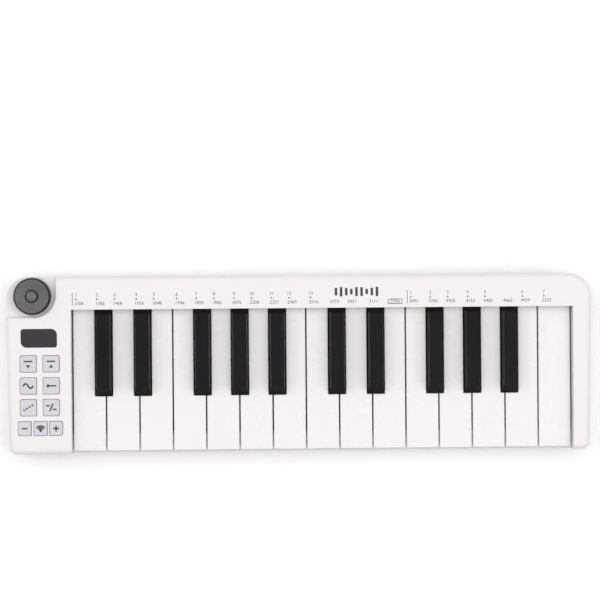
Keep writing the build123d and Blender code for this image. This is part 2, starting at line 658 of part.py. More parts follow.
# Black keys: a tapered cap with a sloping front on a straight body
for name, left, right in sharps.values():
    centre = (left + right) / 2
    inner_half = BLACK_BASE_WIDTH / 2 - BLACK_WALL
    core_half = BLACK_CORE_WIDTH / 2
    with BuildPart() as black_key:
        with BuildSketch(Plane.XY.offset(WHITE_TOP)):
            draw_span((left, right), (BLACK_FRONT, BLACK_REAR))
        with BuildSketch(Plane.XY.offset(BLACK_TOP)):
            top_half = BLACK_TOP_WIDTH / 2
            draw_span((centre - top_half, centre + top_half), (BLACK_TOP_FRONT, BLACK_REAR))
        loft(ruled=True)
        fillet(black_key.edges().filter_by(GeomType.LINE).group_by(Axis.Z)[-1], BLACK_EDGE)
        with BuildSketch(Plane.XY.offset(BLACK_SKIRT)):
            draw_span((left, right), (BLACK_FRONT, TAIL_END))
        extrude(amount=WHITE_TOP - BLACK_SKIRT)
        with BuildSketch(Plane.XY.offset(WHITE_TOP)):
            neck_half = BLACK_NECK_WIDTH / 2
            draw_span((centre - neck_half, centre + neck_half), (BLACK_REAR - OVERRUN, TAIL_END))
        extrude(amount=BLACK_NECK_TOP - WHITE_TOP)
        with BuildSketch(Plane.XY.offset(BLACK_SKIRT)):
            draw_span(
                (centre - inner_half, centre + inner_half),
                (BLACK_FRONT + BLACK_WALL, TAIL_END - 2 * BLACK_WALL),
            )
        extrude(amount=WHITE_TOP - BLACK_WALL - BLACK_SKIRT, mode=Mode.SUBTRACT)
        with BuildSketch(Plane.XY.offset(BLACK_SKIRT)):
            draw_span(
                (centre - core_half, centre + core_half),
                (BLACK_CORE_FRONT, BLACK_REAR - 2 * BLACK_WALL),
            )
        extrude(amount=BLACK_CORE_TOP - BLACK_SKIRT, mode=Mode.SUBTRACT)
        add_hook(centre, BLACK_LEG_Y, BLACK_CORE_TOP)
        add_press_rib(centre, BLACK_CORE_TOP)
        add_pivot_end(left, right)
    black_key.part.label = name
    export_step(black_key.part, f"parts/{name}.step")

# The steel rod that all keys turn on
with BuildPart() as key_pivot_rod:
    with BuildSketch(Plane.YZ.offset(FRAME_LEFT)):
        with Locations((PIVOT_Y, PIVOT_Z)):
            Circle(ROD_RADIUS)
    extrude(amount=FRAME_RIGHT - FRAME_LEFT)
key_pivot_rod.part.label = "key_pivot_rod"
export_step(key_pivot_rod.part, "parts/key_pivot_rod.step")

# Frame below the keys: two stop rails, ribs, and a comb of ears for the rod
ear_spans = [(FRAME_LEFT, FRAME_LEFT + END_EAR), (FRAME_RIGHT - END_EAR, FRAME_RIGHT)]
for (_, _, tail_right), (_, next_left, _) in zip(tails[:-1], tails[1:]):
    ear_x = (tail_right + next_left) / 2
    ear_spans.append((ear_x - EAR_THICKNESS / 2, ear_x + EAR_THICKNESS / 2))
with BuildPart() as key_frame:
    with BuildSketch(Plane.XY.offset(RAIL_BOTTOM)):
        draw_span((FRAME_LEFT, FRAME_RIGHT), FRONT_RAIL)
        draw_span((FRAME_LEFT, FRAME_RIGHT), MIDDLE_RAIL)
    extrude(amount=RAIL_TOP - RAIL_BOTTOM)
    with BuildSketch(Plane.XY.offset(PARTING)):
        draw_span((FRAME_LEFT, FRAME_RIGHT), (COMB_FRONT, FRAME_REAR))
    extrude(amount=COMB_TOP - PARTING)
    for arm_left in (FRAME_LEFT, FRAME_RIGHT - FRAME_ARM):
        with BuildSketch(Plane.XY.offset(PARTING)):
            draw_span((arm_left, arm_left + FRAME_ARM), (FRONT_RAIL[0], COMB_FRONT))
        extrude(amount=RAIL_BOTTOM - PARTING)
    for x in rib_xs:
        with BuildSketch(Plane.YZ.offset(x - FRAME_RIB / 2)):
            draw_span((FRONT_RAIL[0], COMB_FRONT), (PARTING, FRAME_RIB_TOP))
            draw_span((FRONT_RAIL[0], FRONT_SADDLE_REAR), (PARTING, RAIL_BOTTOM))
            draw_span((MIDDLE_RAIL[0], MIDDLE_SADDLE_REAR), (PARTING, RAIL_BOTTOM))
        extrude(amount=FRAME_RIB)
        with BuildSketch(Plane.XY.offset(PARTING)):
            with Locations((x, FRAME_POST_Y)):
                Circle(FRAME_POST_RADIUS)
        extrude(amount=RAIL_BOTTOM - PARTING)
        with BuildSketch(Plane.XY.offset(PARTING)):
            with Locations((x, CONTACT_POST_Y)):
                Circle(CONTACT_POST_RADIUS)
        extrude(amount=FRAME_RIB_TOP - PARTING)
    for ear_left, ear_right in ear_spans:
        with BuildSketch(Plane.YZ.offset(ear_left)):
            draw_span(
                (PIVOT_Y - EAR_WIDTH / 2, PIVOT_Y + EAR_WIDTH / 2),
                (COMB_TOP - OVERRUN, PIVOT_Z),
            )
            with Locations((PIVOT_Y, PIVOT_Z)):
                Circle(EAR_RADIUS)
                Circle(ROD_RADIUS + ROD_SEAT_GAP, mode=Mode.SUBTRACT)
        extrude(amount=ear_right - ear_left)
    with BuildSketch(Plane.XY.offset(PARTING)):
        with Locations(*frame_screws):
            Circle(SCREW_RADIUS + PILOT_GAP)
    extrude(amount=FRAME_SCREW_TIP + PILOT_DEPTH_GAP - PARTING, mode=Mode.SUBTRACT)
    with BuildSketch(Plane.XY.offset(PARTING + CONTACT_PILOT_FLOOR)):
        with Locations(*[(x, CONTACT_POST_Y) for x in rib_xs]):
            Circle(SMALL_SCREW_RADIUS + PILOT_GAP)
    extrude(amount=FRAME_RIB_TOP, mode=Mode.SUBTRACT)
key_frame.part.label = "key_frame"
export_step(key_frame.part, "parts/key_frame.step")

# Felt that cushions the keys: above the rails for the way down, below for the way up
felt_left = FRAME_LEFT + FELT_INSET
felt_right = FRAME_RIGHT - FELT_INSET
with BuildPart() as felt_strips:
    with BuildSketch(Plane.XY.offset(RAIL_TOP)):
        draw_span((felt_left, felt_right), FRONT_FELT)
        draw_span((felt_left, felt_right), MIDDLE_FELT)
    extrude(amount=FELT_THICKNESS)
    with BuildSketch(Plane.XY.offset(RAIL_BOTTOM - FELT_UNDER)):
        draw_span((felt_left + FELT_STEP, felt_right - FELT_STEP), FRONT_UNDER_FELT)
        draw_span((felt_left + FELT_STEP, felt_right - FELT_STEP), MIDDLE_UNDER_FELT)
    extrude(amount=FELT_UNDER)
felt_strips.part.label = "felt_strips"
export_step(felt_strips.part, "parts/felt_strips.step")

# Contact board under the keys, with its flat cable's connector
with BuildPart() as key_contact_board:
    with BuildSketch(Plane.XY.offset(FRAME_RIB_TOP)):
        board_inset = FRAME_ARM + BOARD_GAP
        draw_span((FRAME_LEFT + board_inset, FRAME_RIGHT - board_inset), CONTACT_BOARD)
        with Locations(*[(x, CONTACT_POST_Y) for x in rib_xs]):
            Circle(SMALL_SCREW_RADIUS + SCREW_CLEARANCE, mode=Mode.SUBTRACT)
    extrude(amount=CONTACT_BOARD_TOP - FRAME_RIB_TOP)
key_contact_board.part.label = "key_contact_board"
export_step(key_contact_board.part, "parts/key_contact_board.step")

# Silicone strip of domes, one under each key
with BuildPart() as key_dome_strip:
    with BuildSketch(Plane.XY.offset(CONTACT_BOARD_TOP)):
        draw_span(
            (FRAME_LEFT + DOME_SHEET_INSET, FRAME_RIGHT - DOME_SHEET_INSET),
            (PRESS_RIB_Y - DOME_SHEET_HALF, PRESS_RIB_Y + DOME_SHEET_HALF),
        )
    extrude(amount=DOME_SHEET_TOP - CONTACT_BOARD_TOP)
    for _, left, right in tails:
        with BuildSketch(at_height((left + right) / 2, PRESS_RIB_Y, DOME_SHEET_TOP)):
            Circle(DOME_BASE_RADIUS)
        with BuildSketch(at_height((left + right) / 2, PRESS_RIB_Y, DOME_TOP)):
            Circle(DOME_TOP_RADIUS)
        loft()
key_dome_strip.part.label = "key_dome_strip"
export_step(key_dome_strip.part, "parts/key_dome_strip.step")

# Buttons: cap, retaining skirt under the panel, and stem
for name, x, y, side, size in buttons:
    with BuildPart() as button:
        with BuildSketch(at_height(x, y, BUTTON_SKIRT_BOTTOM)):
            draw_sided_rectangle(*size, side)
        extrude(amount=BUTTON_TOP - BUTTON_SKIRT_BOTTOM)
        fillet(button.faces().sort_by(Axis.Z)[-1].edges(), BUTTON_EDGE)
        with BuildSketch(at_height(x, y, BUTTON_SKIRT_BOTTOM)):
            Rectangle(size[0] + 2 * BUTTON_SKIRT, size[1] + 2 * BUTTON_SKIRT)
        extrude(amount=BUTTON_SKIRT_TOP - BUTTON_SKIRT_BOTTOM)
        with BuildSketch(at_height(x, y, BUTTON_STEM_BOTTOM)):
            Circle(BUTTON_STEM_RADIUS)
        extrude(amount=BUTTON_SKIRT_BOTTOM - BUTTON_STEM_BOTTOM)
    button.part.label = name
    export_step(button.part, f"parts/{name}.step")

# Silicone mat with a dome under each button
with BuildPart() as button_dome_mat:
    with BuildSketch(Plane.XY.offset(PANEL_BOARD_TOP)):
        draw_span(MAT_X, MAT_Y)
    extrude(amount=MAT_TOP - PANEL_BOARD_TOP)
    with BuildSketch(Plane.XY.offset(MAT_TOP)):
        with Locations(*[(x, y) for _, x, y, _, _ in buttons]):
            Circle(MAT_DOME_RADIUS)
    extrude(amount=MAT_DOME_TOP - MAT_TOP, taper=MAT_DOME_TAPER)
button_dome_mat.part.label = "button_dome_mat"
export_step(button_dome_mat.part, "parts/button_dome_mat.step")

# Board under the control panel
with BuildPart() as panel_board:
    with BuildSketch(Plane.XY.offset(PANEL_BOARD_BOTTOM)):
        draw_span(PANEL_BOARD_X, PANEL_BOARD_Y)
        with Locations(*CASE_SCREWS):
            Circle(CASE_BOSS_RADIUS + 2 * BOARD_GAP, mode=Mode.SUBTRACT)
        with Locations(*PANEL_SCREWS):
            Circle(SMALL_SCREW_RADIUS + SCREW_CLEARANCE, mode=Mode.SUBTRACT)
    extrude(amount=BOARD_THICKNESS)
panel_board.part.label = "panel_board"
export_step(panel_board.part, "parts/panel_board.step")

with BuildPart() as display_module:
    with BuildSketch(Plane.XY.offset(PANEL_BOARD_TOP)):
        with Locations(DISPLAY_CENTRE):
            Rectangle(*MODULE_SIZE)
    extrude(amount=LENS_BOTTOM - PANEL_BOARD_TOP)
display_module.part.label = "display_module"
export_step(display_module.part, "parts/display_module.step")

with BuildPart() as display_lens:
    with BuildSketch(at_height(*DISPLAY_CENTRE, LENS_BOTTOM)):
        draw_display(LENS_GAP)
    extrude(amount=LENS_TOP - LENS_BOTTOM)
    chamfer(display_lens.faces().sort_by(Axis.Z)[-1].edges(), LENS_CHAMFER)
display_lens.part.label = "display_lens"
export_step(display_lens.part, "parts/display_lens.step")

# Main board, notched for the power switch
with BuildPart() as main_board:
    with BuildSketch(Plane.XY.offset(MAIN_BOARD_BOTTOM)):
        draw_span((MAIN_BOARD_LEFT, MAIN_BOARD_RIGHT), (MAIN_BOARD_STEP_Y, MAIN_BOARD_REAR))
        draw_span((MAIN_BOARD_LEFT, MAIN_BOARD_STEP_X), (MAIN_BOARD_FRONT, MAIN_BOARD_STEP_Y))
        fillet(vertices().group_by(Axis.Y)[-1].sort_by(Axis.X)[0], MAIN_BOARD_CORNER)
        draw_span(
            (MAIN_BOARD_LEFT - OVERRUN, SWITCH_X[1] + SWITCH_GAP),
            (SWITCH_Y[0] - SWITCH_GAP, SWITCH_Y[1] + SWITCH_GAP),
            Mode.SUBTRACT,
        )
        with Locations(*MAIN_SCREWS):
            Circle(SMALL_SCREW_RADIUS + SCREW_CLEARANCE, mode=Mode.SUBTRACT)
    extrude(amount=BOARD_THICKNESS)
main_board.part.label = "main_board"
export_step(main_board.part, "parts/main_board.step")

# Metal can of the radio module
with BuildPart() as wireless_module:
    with BuildSketch(Plane.XY.offset(MAIN_BOARD_TOP)):
        draw_span(WIRELESS_X, WIRELESS_Y)
        fillet(vertices(), WIRELESS_CORNER)
    extrude(amount=WIRELESS_HEIGHT)
    chamfer(wireless_module.faces().sort_by(Axis.Z)[-1].edges(), WIRELESS_CHAMFER)
wireless_module.part.label = "wireless_module"
export_step(wireless_module.part, "parts/wireless_module.step")

# Rear socket: a formed metal shell with its contact tongue
socket_face = REAR_FACE - SOCKET_RECESS_DEPTH
with BuildPart() as usb_socket:
    with BuildSketch(Plane.XZ.offset(-socket_face)):
        with Locations((SOCKET_X, SOCKET_Z)):
            SlotOverall(*SOCKET_SHELL)
    extrude(amount=SOCKET_LENGTH)
    with BuildSketch(Plane.XZ.offset(-socket_face)):
        with Locations((SOCKET_X, SOCKET_Z)):
            SlotOverall(*SOCKET_MOUTH)
    extrude(amount=SOCKET_LENGTH - SOCKET_BACK, mode=Mode.SUBTRACT)
    with BuildSketch(Plane.XZ.offset(TONGUE_INSET - socket_face)):
        with Locations((SOCKET_X, SOCKET_Z)):
            Rectangle(*SOCKET_TONGUE)
    extrude(amount=SOCKET_LENGTH - TONGUE_INSET - SOCKET_BACK / 2)
usb_socket.part.label = "usb_socket"
export_step(usb_socket.part, "parts/usb_socket.step")

with BuildPart() as charge_light:
    with BuildSketch(Plane.XZ.offset(-socket_face)):
        with Locations((LIGHT_X, SOCKET_Z)):
            Circle(LIGHT_RADIUS)
    extrude(amount=LIGHT_LENGTH)
charge_light.part.label = "charge_light"
export_step(charge_light.part, "parts/charge_light.step")

# Rotary encoder that can also be pressed
encoder_plane = at_height(KNOB_X, KNOB_Y, 0)
with BuildPart() as encoder_body:
    with BuildSketch(encoder_plane.offset(MAIN_BOARD_TOP)):
        Rectangle(ENCODER_WIDTH, ENCODER_DEPTH)
    extrude(amount=ENCODER_TOP - MAIN_BOARD_TOP)
    with BuildSketch(encoder_plane.offset(ENCODER_TOP)):
        Circle(BUSHING_RADIUS)
    extrude(amount=BUSHING_TOP - ENCODER_TOP)
    with BuildSketch(encoder_plane.offset(ENCODER_CAVITY[0])):
        Circle(ENCODER_CAVITY_RADIUS)
    extrude(amount=ENCODER_CAVITY[1] - ENCODER_CAVITY[0], mode=Mode.SUBTRACT)
    with BuildSketch(encoder_plane.offset(ENCODER_CAVITY[0])):
        Circle(SHAFT_RADIUS + SHAFT_GAP)
    extrude(amount=CASE_TOP, mode=Mode.SUBTRACT)
encoder_body.part.label = "encoder_body"
export_step(encoder_body.part, "parts/encoder_body.step")

with BuildPart() as encoder_plunger:
    with BuildSketch(encoder_plane.offset(PLUNGER[0])):
        Circle(PLUNGER_RADIUS)
    extrude(amount=PLUNGER[1] - PLUNGER[0])
    chamfer(encoder_plunger.faces().sort_by(Axis.Z)[0].edges(), PLUNGER_CHAMFER)
encoder_plunger.part.label = "encoder_plunger"
export_step(encoder_plunger.part, "parts/encoder_plunger.step")

with BuildPart() as encoder_shaft:
    with BuildSketch(encoder_plane.offset(SHAFT_BOTTOM)):
        Circle(SHAFT_RADIUS)
    extrude(amount=SHAFT_TOP - SHAFT_BOTTOM)
    with BuildSketch(encoder_plane.offset(SHAFT_BOTTOM)):
        Circle(SHAFT_COLLAR_RADIUS)
    extrude(amount=SHAFT_COLLAR_TOP - SHAFT_BOTTOM)
encoder_shaft.part.label = "encoder_shaft"
export_step(encoder_shaft.part, "parts/encoder_shaft.step")

# Knob: grooved rim, chamfered edge, small raised centre, hollow below
with BuildPart() as knob:
    with BuildSketch(encoder_plane.offset(KNOB_BOTTOM)):
        Circle(KNOB_RADIUS)
    extrude(amount=KNOB_TOP - KNOB_BOTTOM)
    chamfer(knob.faces().sort_by(Axis.Z)[-1].edges(), KNOB_CHAMFER)
    with BuildSketch(encoder_plane.offset(KNOB_BOTTOM)):
        with PolarLocations(KNOB_RADIUS, KNOB_GROOVES):
            Circle(KNOB_GROOVE_RADIUS)
    extrude(amount=KNOB_TOP - KNOB_BOTTOM, mode=Mode.SUBTRACT)
    with BuildSketch(encoder_plane.offset(KNOB_TOP)):
        Circle(KNOB_NUB_RADIUS)
    extrude(amount=KNOB_NUB_TOP - KNOB_TOP)
    fillet(knob.faces().sort_by(Axis.Z)[-1].edges(), KNOB_NUB_EDGE)
    with BuildSketch(encoder_plane.offset(KNOB_BOTTOM)):
        Circle(KNOB_RADIUS - KNOB_SKIRT)
        Circle(KNOB_SLEEVE_RADIUS, mode=Mode.SUBTRACT)
    extrude(amount=KNOB_CAVITY_TOP - KNOB_BOTTOM, mode=Mode.SUBTRACT)
    with BuildSketch(encoder_plane.offset(KNOB_BOTTOM)):
        Circle(SHAFT_RADIUS + SHAFT_SEAT_GAP)
    extrude(amount=SHAFT_TOP + SHAFT_END_GAP - KNOB_BOTTOM, mode=Mode.SUBTRACT)
knob.part.label = "knob"
export_step(knob.part, "parts/knob.step")

# Power switch: a body sunk into the board, and the slider that comes through the wall
with BuildPart() as power_switch_body:
    with BuildSketch(Plane.XY.offset(SWITCH_Z[0])):
        draw_span(SWITCH_X, SWITCH_Y)
    extrude(amount=SWITCH_Z[1] - SWITCH_Z[0])
    with BuildSketch(Plane.YZ.offset(SWITCH_X[0])):
        with Locations((SLIDER_Y + SLIDER_TRAVEL / 2, SLIDER_Z)):
            Rectangle(SLIDER_SIZE[0] + SLIDER_TRAVEL + 2 * SLIDER_GAP, SLIDER_SIZE[1] + SLIDER_GAP)
    extrude(amount=SWITCH_SLOT_DEPTH, mode=Mode.SUBTRACT)
power_switch_body.part.label = "power_switch_body"
export_step(power_switch_body.part, "parts/power_switch_body.step")

with BuildPart() as power_slider:
    with BuildSketch(Plane.YZ.offset(SLIDER_TIP_X)):
        with Locations((SLIDER_Y, SLIDER_Z)):
            Rectangle(*SLIDER_SIZE)
    extrude(amount=SWITCH_X[0] + SLIDER_DEPTH - SLIDER_TIP_X)
    fillet(power_slider.faces().sort_by(Axis.X)[0].edges(), SLIDER_EDGE)
power_slider.part.label = "power_slider"
export_step(power_slider.part, "parts/power_slider.step")

# Battery, resting on the base between its ribs
with BuildPart() as battery_pack:
    with BuildSketch(Plane.XY.offset(PARTING)):
        draw_span(BATTERY_X, BATTERY_Y)
    extrude(amount=BATTERY_TOP - PARTING)
    fillet(battery_pack.edges().filter_by(Axis.Y), BATTERY_EDGE)
battery_pack.part.label = "battery_pack"
export_step(battery_pack.part, "parts/battery_pack.step")

# Flat cable from the contact board, through the bay's wall, to the main board
with BuildPart() as ribbon_cable:
    with BuildSketch(Plane.XZ.offset(-RIBBON_Y[1])):
        with BuildLine():
            FilletPolyline(
                (RIBBON_START_X, RIBBON_LOW),
                (RIBBON_TURN_X, RIBBON_LOW),
                (RIBBON_TURN_X, RIBBON_HIGH),
                (RIBBON_END_X, RIBBON_HIGH),
                radius=RIBBON_BEND,
            )
        trace(line_width=RIBBON_THICKNESS)
    extrude(amount=RIBBON_Y[1] - RIBBON_Y[0])
ribbon_cable.part.label = "ribbon_cable"
export_step(ribbon_cable.part, "parts/ribbon_cable.step")

# Case screws from below: (x, y, height of the tip)
head_bottom = CASE_BOTTOM + COUNTERBORE_DEPTH - SCREW_HEAD
screws = [(x, y, CASE_SCREW_TIP) for x, y in CASE_SCREWS]
screws += [(x, y, FRAME_SCREW_TIP) for x, y in frame_screws]
with BuildPart() as case_screws:
    for x, y, tip in screws:
        screw_plane = at_height(x, y, head_bottom)
        with BuildSketch(screw_plane):
            Circle(SCREW_RADIUS)
        extrude(amount=tip - head_bottom)
        with BuildSketch(screw_plane):
            Circle(SCREW_HEAD_RADIUS)
        extrude(amount=SCREW_HEAD)
        with BuildSketch(screw_plane):
            Rectangle(2 * SCREW_DRIVE_RADIUS, SCREW_SLOT)
            Rectangle(SCREW_SLOT, 2 * SCREW_DRIVE_RADIUS)
        extrude(amount=SCREW_DRIVE_DEPTH, mode=Mode.SUBTRACT)
case_screws.part.label = "case_screws"
export_step(case_screws.part, "parts/case_screws.step")

# Board screws: (x, y, underside of the head, length of shank, direction of the shank)
small_screws = [(x, y, PANEL_BOARD_BOTTOM, SHORT_SHANK, 1) for x, y in PANEL_SCREWS]
small_screws += [(x, y, MAIN_BOARD_TOP, LONG_SHANK, -1) for x, y in MAIN_SCREWS]
small_screws += [(x, CONTACT_POST_Y, CONTACT_BOARD_TOP, SHORT_SHANK, -1) for x in rib_xs]
with BuildPart() as board_screws:
    for x, y, seat, length, way in small_screws:
        seat_plane = at_height(x, y, seat)
        with BuildSketch(seat_plane):
            Circle(SMALL_SCREW_RADIUS)
        extrude(amount=length * way)
        with BuildSketch(seat_plane):
            Circle(SMALL_HEAD_RADIUS)
        extrude(amount=-SMALL_HEAD * way)
board_screws.part.label = "board_screws"
export_step(board_screws.part, "parts/board_screws.step")
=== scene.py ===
"""Looks of a slim 25-note keyboard controller: finishes, prints, knob, light and camera."""

import logging
import math
from dataclasses import dataclass, field
from enum import Enum

import bmesh
import bpy
from mathutils import Matrix, Vector

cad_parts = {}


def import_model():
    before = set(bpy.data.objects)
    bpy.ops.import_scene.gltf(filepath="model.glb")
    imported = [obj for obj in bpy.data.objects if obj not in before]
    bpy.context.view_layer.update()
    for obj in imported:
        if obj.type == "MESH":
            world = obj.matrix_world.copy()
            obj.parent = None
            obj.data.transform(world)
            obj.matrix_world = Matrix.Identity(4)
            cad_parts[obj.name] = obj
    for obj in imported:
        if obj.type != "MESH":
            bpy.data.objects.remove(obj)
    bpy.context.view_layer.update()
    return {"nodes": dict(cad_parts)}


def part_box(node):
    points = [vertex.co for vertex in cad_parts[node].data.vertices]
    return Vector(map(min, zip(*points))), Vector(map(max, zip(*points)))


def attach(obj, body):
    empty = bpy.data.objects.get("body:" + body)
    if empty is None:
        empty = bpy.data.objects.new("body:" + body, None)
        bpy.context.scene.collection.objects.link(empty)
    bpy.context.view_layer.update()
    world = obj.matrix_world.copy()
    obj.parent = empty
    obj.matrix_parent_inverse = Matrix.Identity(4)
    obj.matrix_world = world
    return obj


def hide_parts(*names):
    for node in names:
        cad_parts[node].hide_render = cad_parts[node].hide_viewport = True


log = logging.getLogger("keyboard_looks")

MM = 0.001
INK_THICKNESS = 0.03 * MM
INK_SINK = 0.012 * MM
Colour = tuple[float, float, float]


# ---------------------------------------------------------------- shader groups


class Socket(Enum):
    """Socket types used in the node groups."""

    VALUE = "NodeSocketFloat"
    WHOLE = "NodeSocketInt"
    VECTOR = "NodeSocketVector"
    COLOUR = "NodeSocketColor"
    GEOMETRY = "NodeSocketGeometry"
    MATERIAL = "NodeSocketMaterial"


def new_group(
    name: str, kind: str, inputs: list[tuple], outputs: list[tuple]
) -> bpy.types.NodeTree:
    """Make an empty node group with named sockets.

    Args:
        name: the group's name.
        kind: ShaderNodeTree or GeometryNodeTree.
        inputs: (name, Socket) or (name, Socket, default) for each input.
        outputs: (name, Socket) for each output.

    Returns:
        The new node tree.
    """
    tree = bpy.data.node_groups.new(name, kind)
    for title, socket, *default in inputs:
        made = tree.interface.new_socket(title, in_out="INPUT", socket_type=socket.value)
        if default:
            made.default_value = default[0]
    for title, socket in outputs:
        tree.interface.new_socket(title, in_out="OUTPUT", socket_type=socket.value)
    return tree


def add_node(
    tree: bpy.types.NodeTree, kind: str, settings: dict | None = None, **inputs
) -> bpy.types.Node:
    """Add a node, set its properties, and fill or link its inputs.

    Args:
        tree: the tree that gets the node.
        kind: the node's type name.
        settings: properties to set on the node itself.
        **inputs: input names (spaces as underscores, or _0, _1 for places) to a value or a socket.

    Returns:
        The new node.
    """
    node = tree.nodes.new(kind)
    for key, value in (settings or {}).items():
        setattr(node, key, value)
    for key, value in inputs.items():
        index = int(key[1:]) if key[0] == "_" and key[1:].isdigit() else key.replace("_", " ")
        target = node.inputs[index]
        if isinstance(value, bpy.types.NodeSocket):
            tree.links.new(value, target)
        else:
            target.default_value = value
    return node


def tone_drift_group() -> bpy.types.NodeTree:
    """Build the group that lets a colour drift softly over a surface.

    Returns:
        The shader group.
    """
    tree = new_group(
        "tone_drift",
        "ShaderNodeTree",
        [
            ("Vector", Socket.VECTOR),
            ("Light Tone", Socket.COLOUR),
            ("Dark Tone", Socket.COLOUR),
            ("Scale", Socket.VALUE, 20.0),
        ],
        [("Color", Socket.COLOUR), ("Mask", Socket.VALUE)],
    )
    enter = add_node(tree, "NodeGroupInput").outputs
    leave = add_node(tree, "NodeGroupOutput")
    noise = add_node(
        tree, "ShaderNodeTexNoise", Vector=enter["Vector"], Scale=enter["Scale"], Detail=1.0
    )
    spread = add_node(
        tree, "ShaderNodeMapRange", Value=noise.outputs[0], From_Min=0.35, From_Max=0.65
    )
    mix = add_node(tree, "ShaderNodeMix", {"data_type": "RGBA"})
    tree.links.new(spread.outputs[0], mix.inputs["Factor"])
    tree.links.new(enter["Dark Tone"], mix.inputs[6])
    tree.links.new(enter["Light Tone"], mix.inputs[7])
    tree.links.new(mix.outputs[2], leave.inputs["Color"])
    tree.links.new(spread.outputs[0], leave.inputs["Mask"])
    return tree


def moulded_grain_group() -> bpy.types.NodeTree:
    """Build the group for the fine pebbled grain of a moulding, with its roughness.

    Returns:
        The shader group.
    """
    tree = new_group(
        "moulded_grain",
        "ShaderNodeTree",
        [
            ("Vector", Socket.VECTOR),
            ("Scale", Socket.VALUE, 2500.0),
            ("Smoothest", Socket.VALUE, 0.4),
            ("Roughest", Socket.VALUE, 0.5),
        ],
        [("Height", Socket.VALUE), ("Roughness", Socket.VALUE)],
    )
    enter = add_node(tree, "NodeGroupInput").outputs
    leave = add_node(tree, "NodeGroupOutput")
    pebbles = add_node(
        tree, "ShaderNodeTexNoise", Vector=enter["Vector"], Scale=enter["Scale"], Detail=3.0
    )
    cells = add_node(
        tree,
        "ShaderNodeTexVoronoi",
        {"feature": "SMOOTH_F1"},
        Vector=enter["Vector"],
        Scale=enter["Scale"],
    )
    height = add_node(
        tree, "ShaderNodeMath", {"operation": "ADD"}, _0=pebbles.outputs[0], _1=cells.outputs[0]
    )
    handled = add_node(tree, "ShaderNodeTexNoise", Vector=enter["Vector"], Scale=35.0, Detail=5.0)
    rough = add_node(
        tree,
        "ShaderNodeMapRange",
        Value=handled.outputs[0],
        From_Min=0.3,
        From_Max=0.7,
        To_Min=enter["Smoothest"],
        To_Max=enter["Roughest"],
    )
    tree.links.new(height.outputs[0], leave.inputs["Height"])
    tree.links.new(rough.outputs[0], leave.inputs["Roughness"])
    return tree


def dust_group() -> bpy.types.NodeTree:
    """Build the group that settles faint pale specks of dust over a colour.

    Returns:
        The shader group.
    """
    tree = new_group(
        "settled_dust",
        "ShaderNodeTree",
        [
            ("Vector", Socket.VECTOR),
            ("Color", Socket.COLOUR),
            ("Dust", Socket.COLOUR),
            ("Amount", Socket.VALUE, 0.05),
        ],
        [("Color", Socket.COLOUR)],
    )
    enter = add_node(tree, "NodeGroupInput").outputs
    leave = add_node(tree, "NodeGroupOutput")
    specks = add_node(tree, "ShaderNodeTexNoise", Vector=enter["Vector"], Scale=900.0, Detail=6.0)
    sparse = add_node(
        tree, "ShaderNodeMapRange", Value=specks.outputs[0], From_Min=0.62, From_Max=0.8
    )
    share = add_node(
        tree, "ShaderNodeMath", {"operation": "MULTIPLY"}, _0=sparse.outputs[0], _1=enter["Amount"]
    )
    mix = add_node(tree, "ShaderNodeMix", {"data_type": "RGBA"})
    tree.links.new(share.outputs[0], mix.inputs["Factor"])
    tree.links.new(enter["Color"], mix.inputs[6])
    tree.links.new(enter["Dust"], mix.inputs[7])
    tree.links.new(mix.outputs[2], leave.inputs["Color"])
    return tree


# ---------------------------------------------------------------- finishes


class Surface(Enum):
    """How a finish's fine structure lies on the surface."""

    MOULDED = "moulded"
    BRUSHED = "brushed"
    FIBRES = "fibres"
    TRACKS = "tracks"


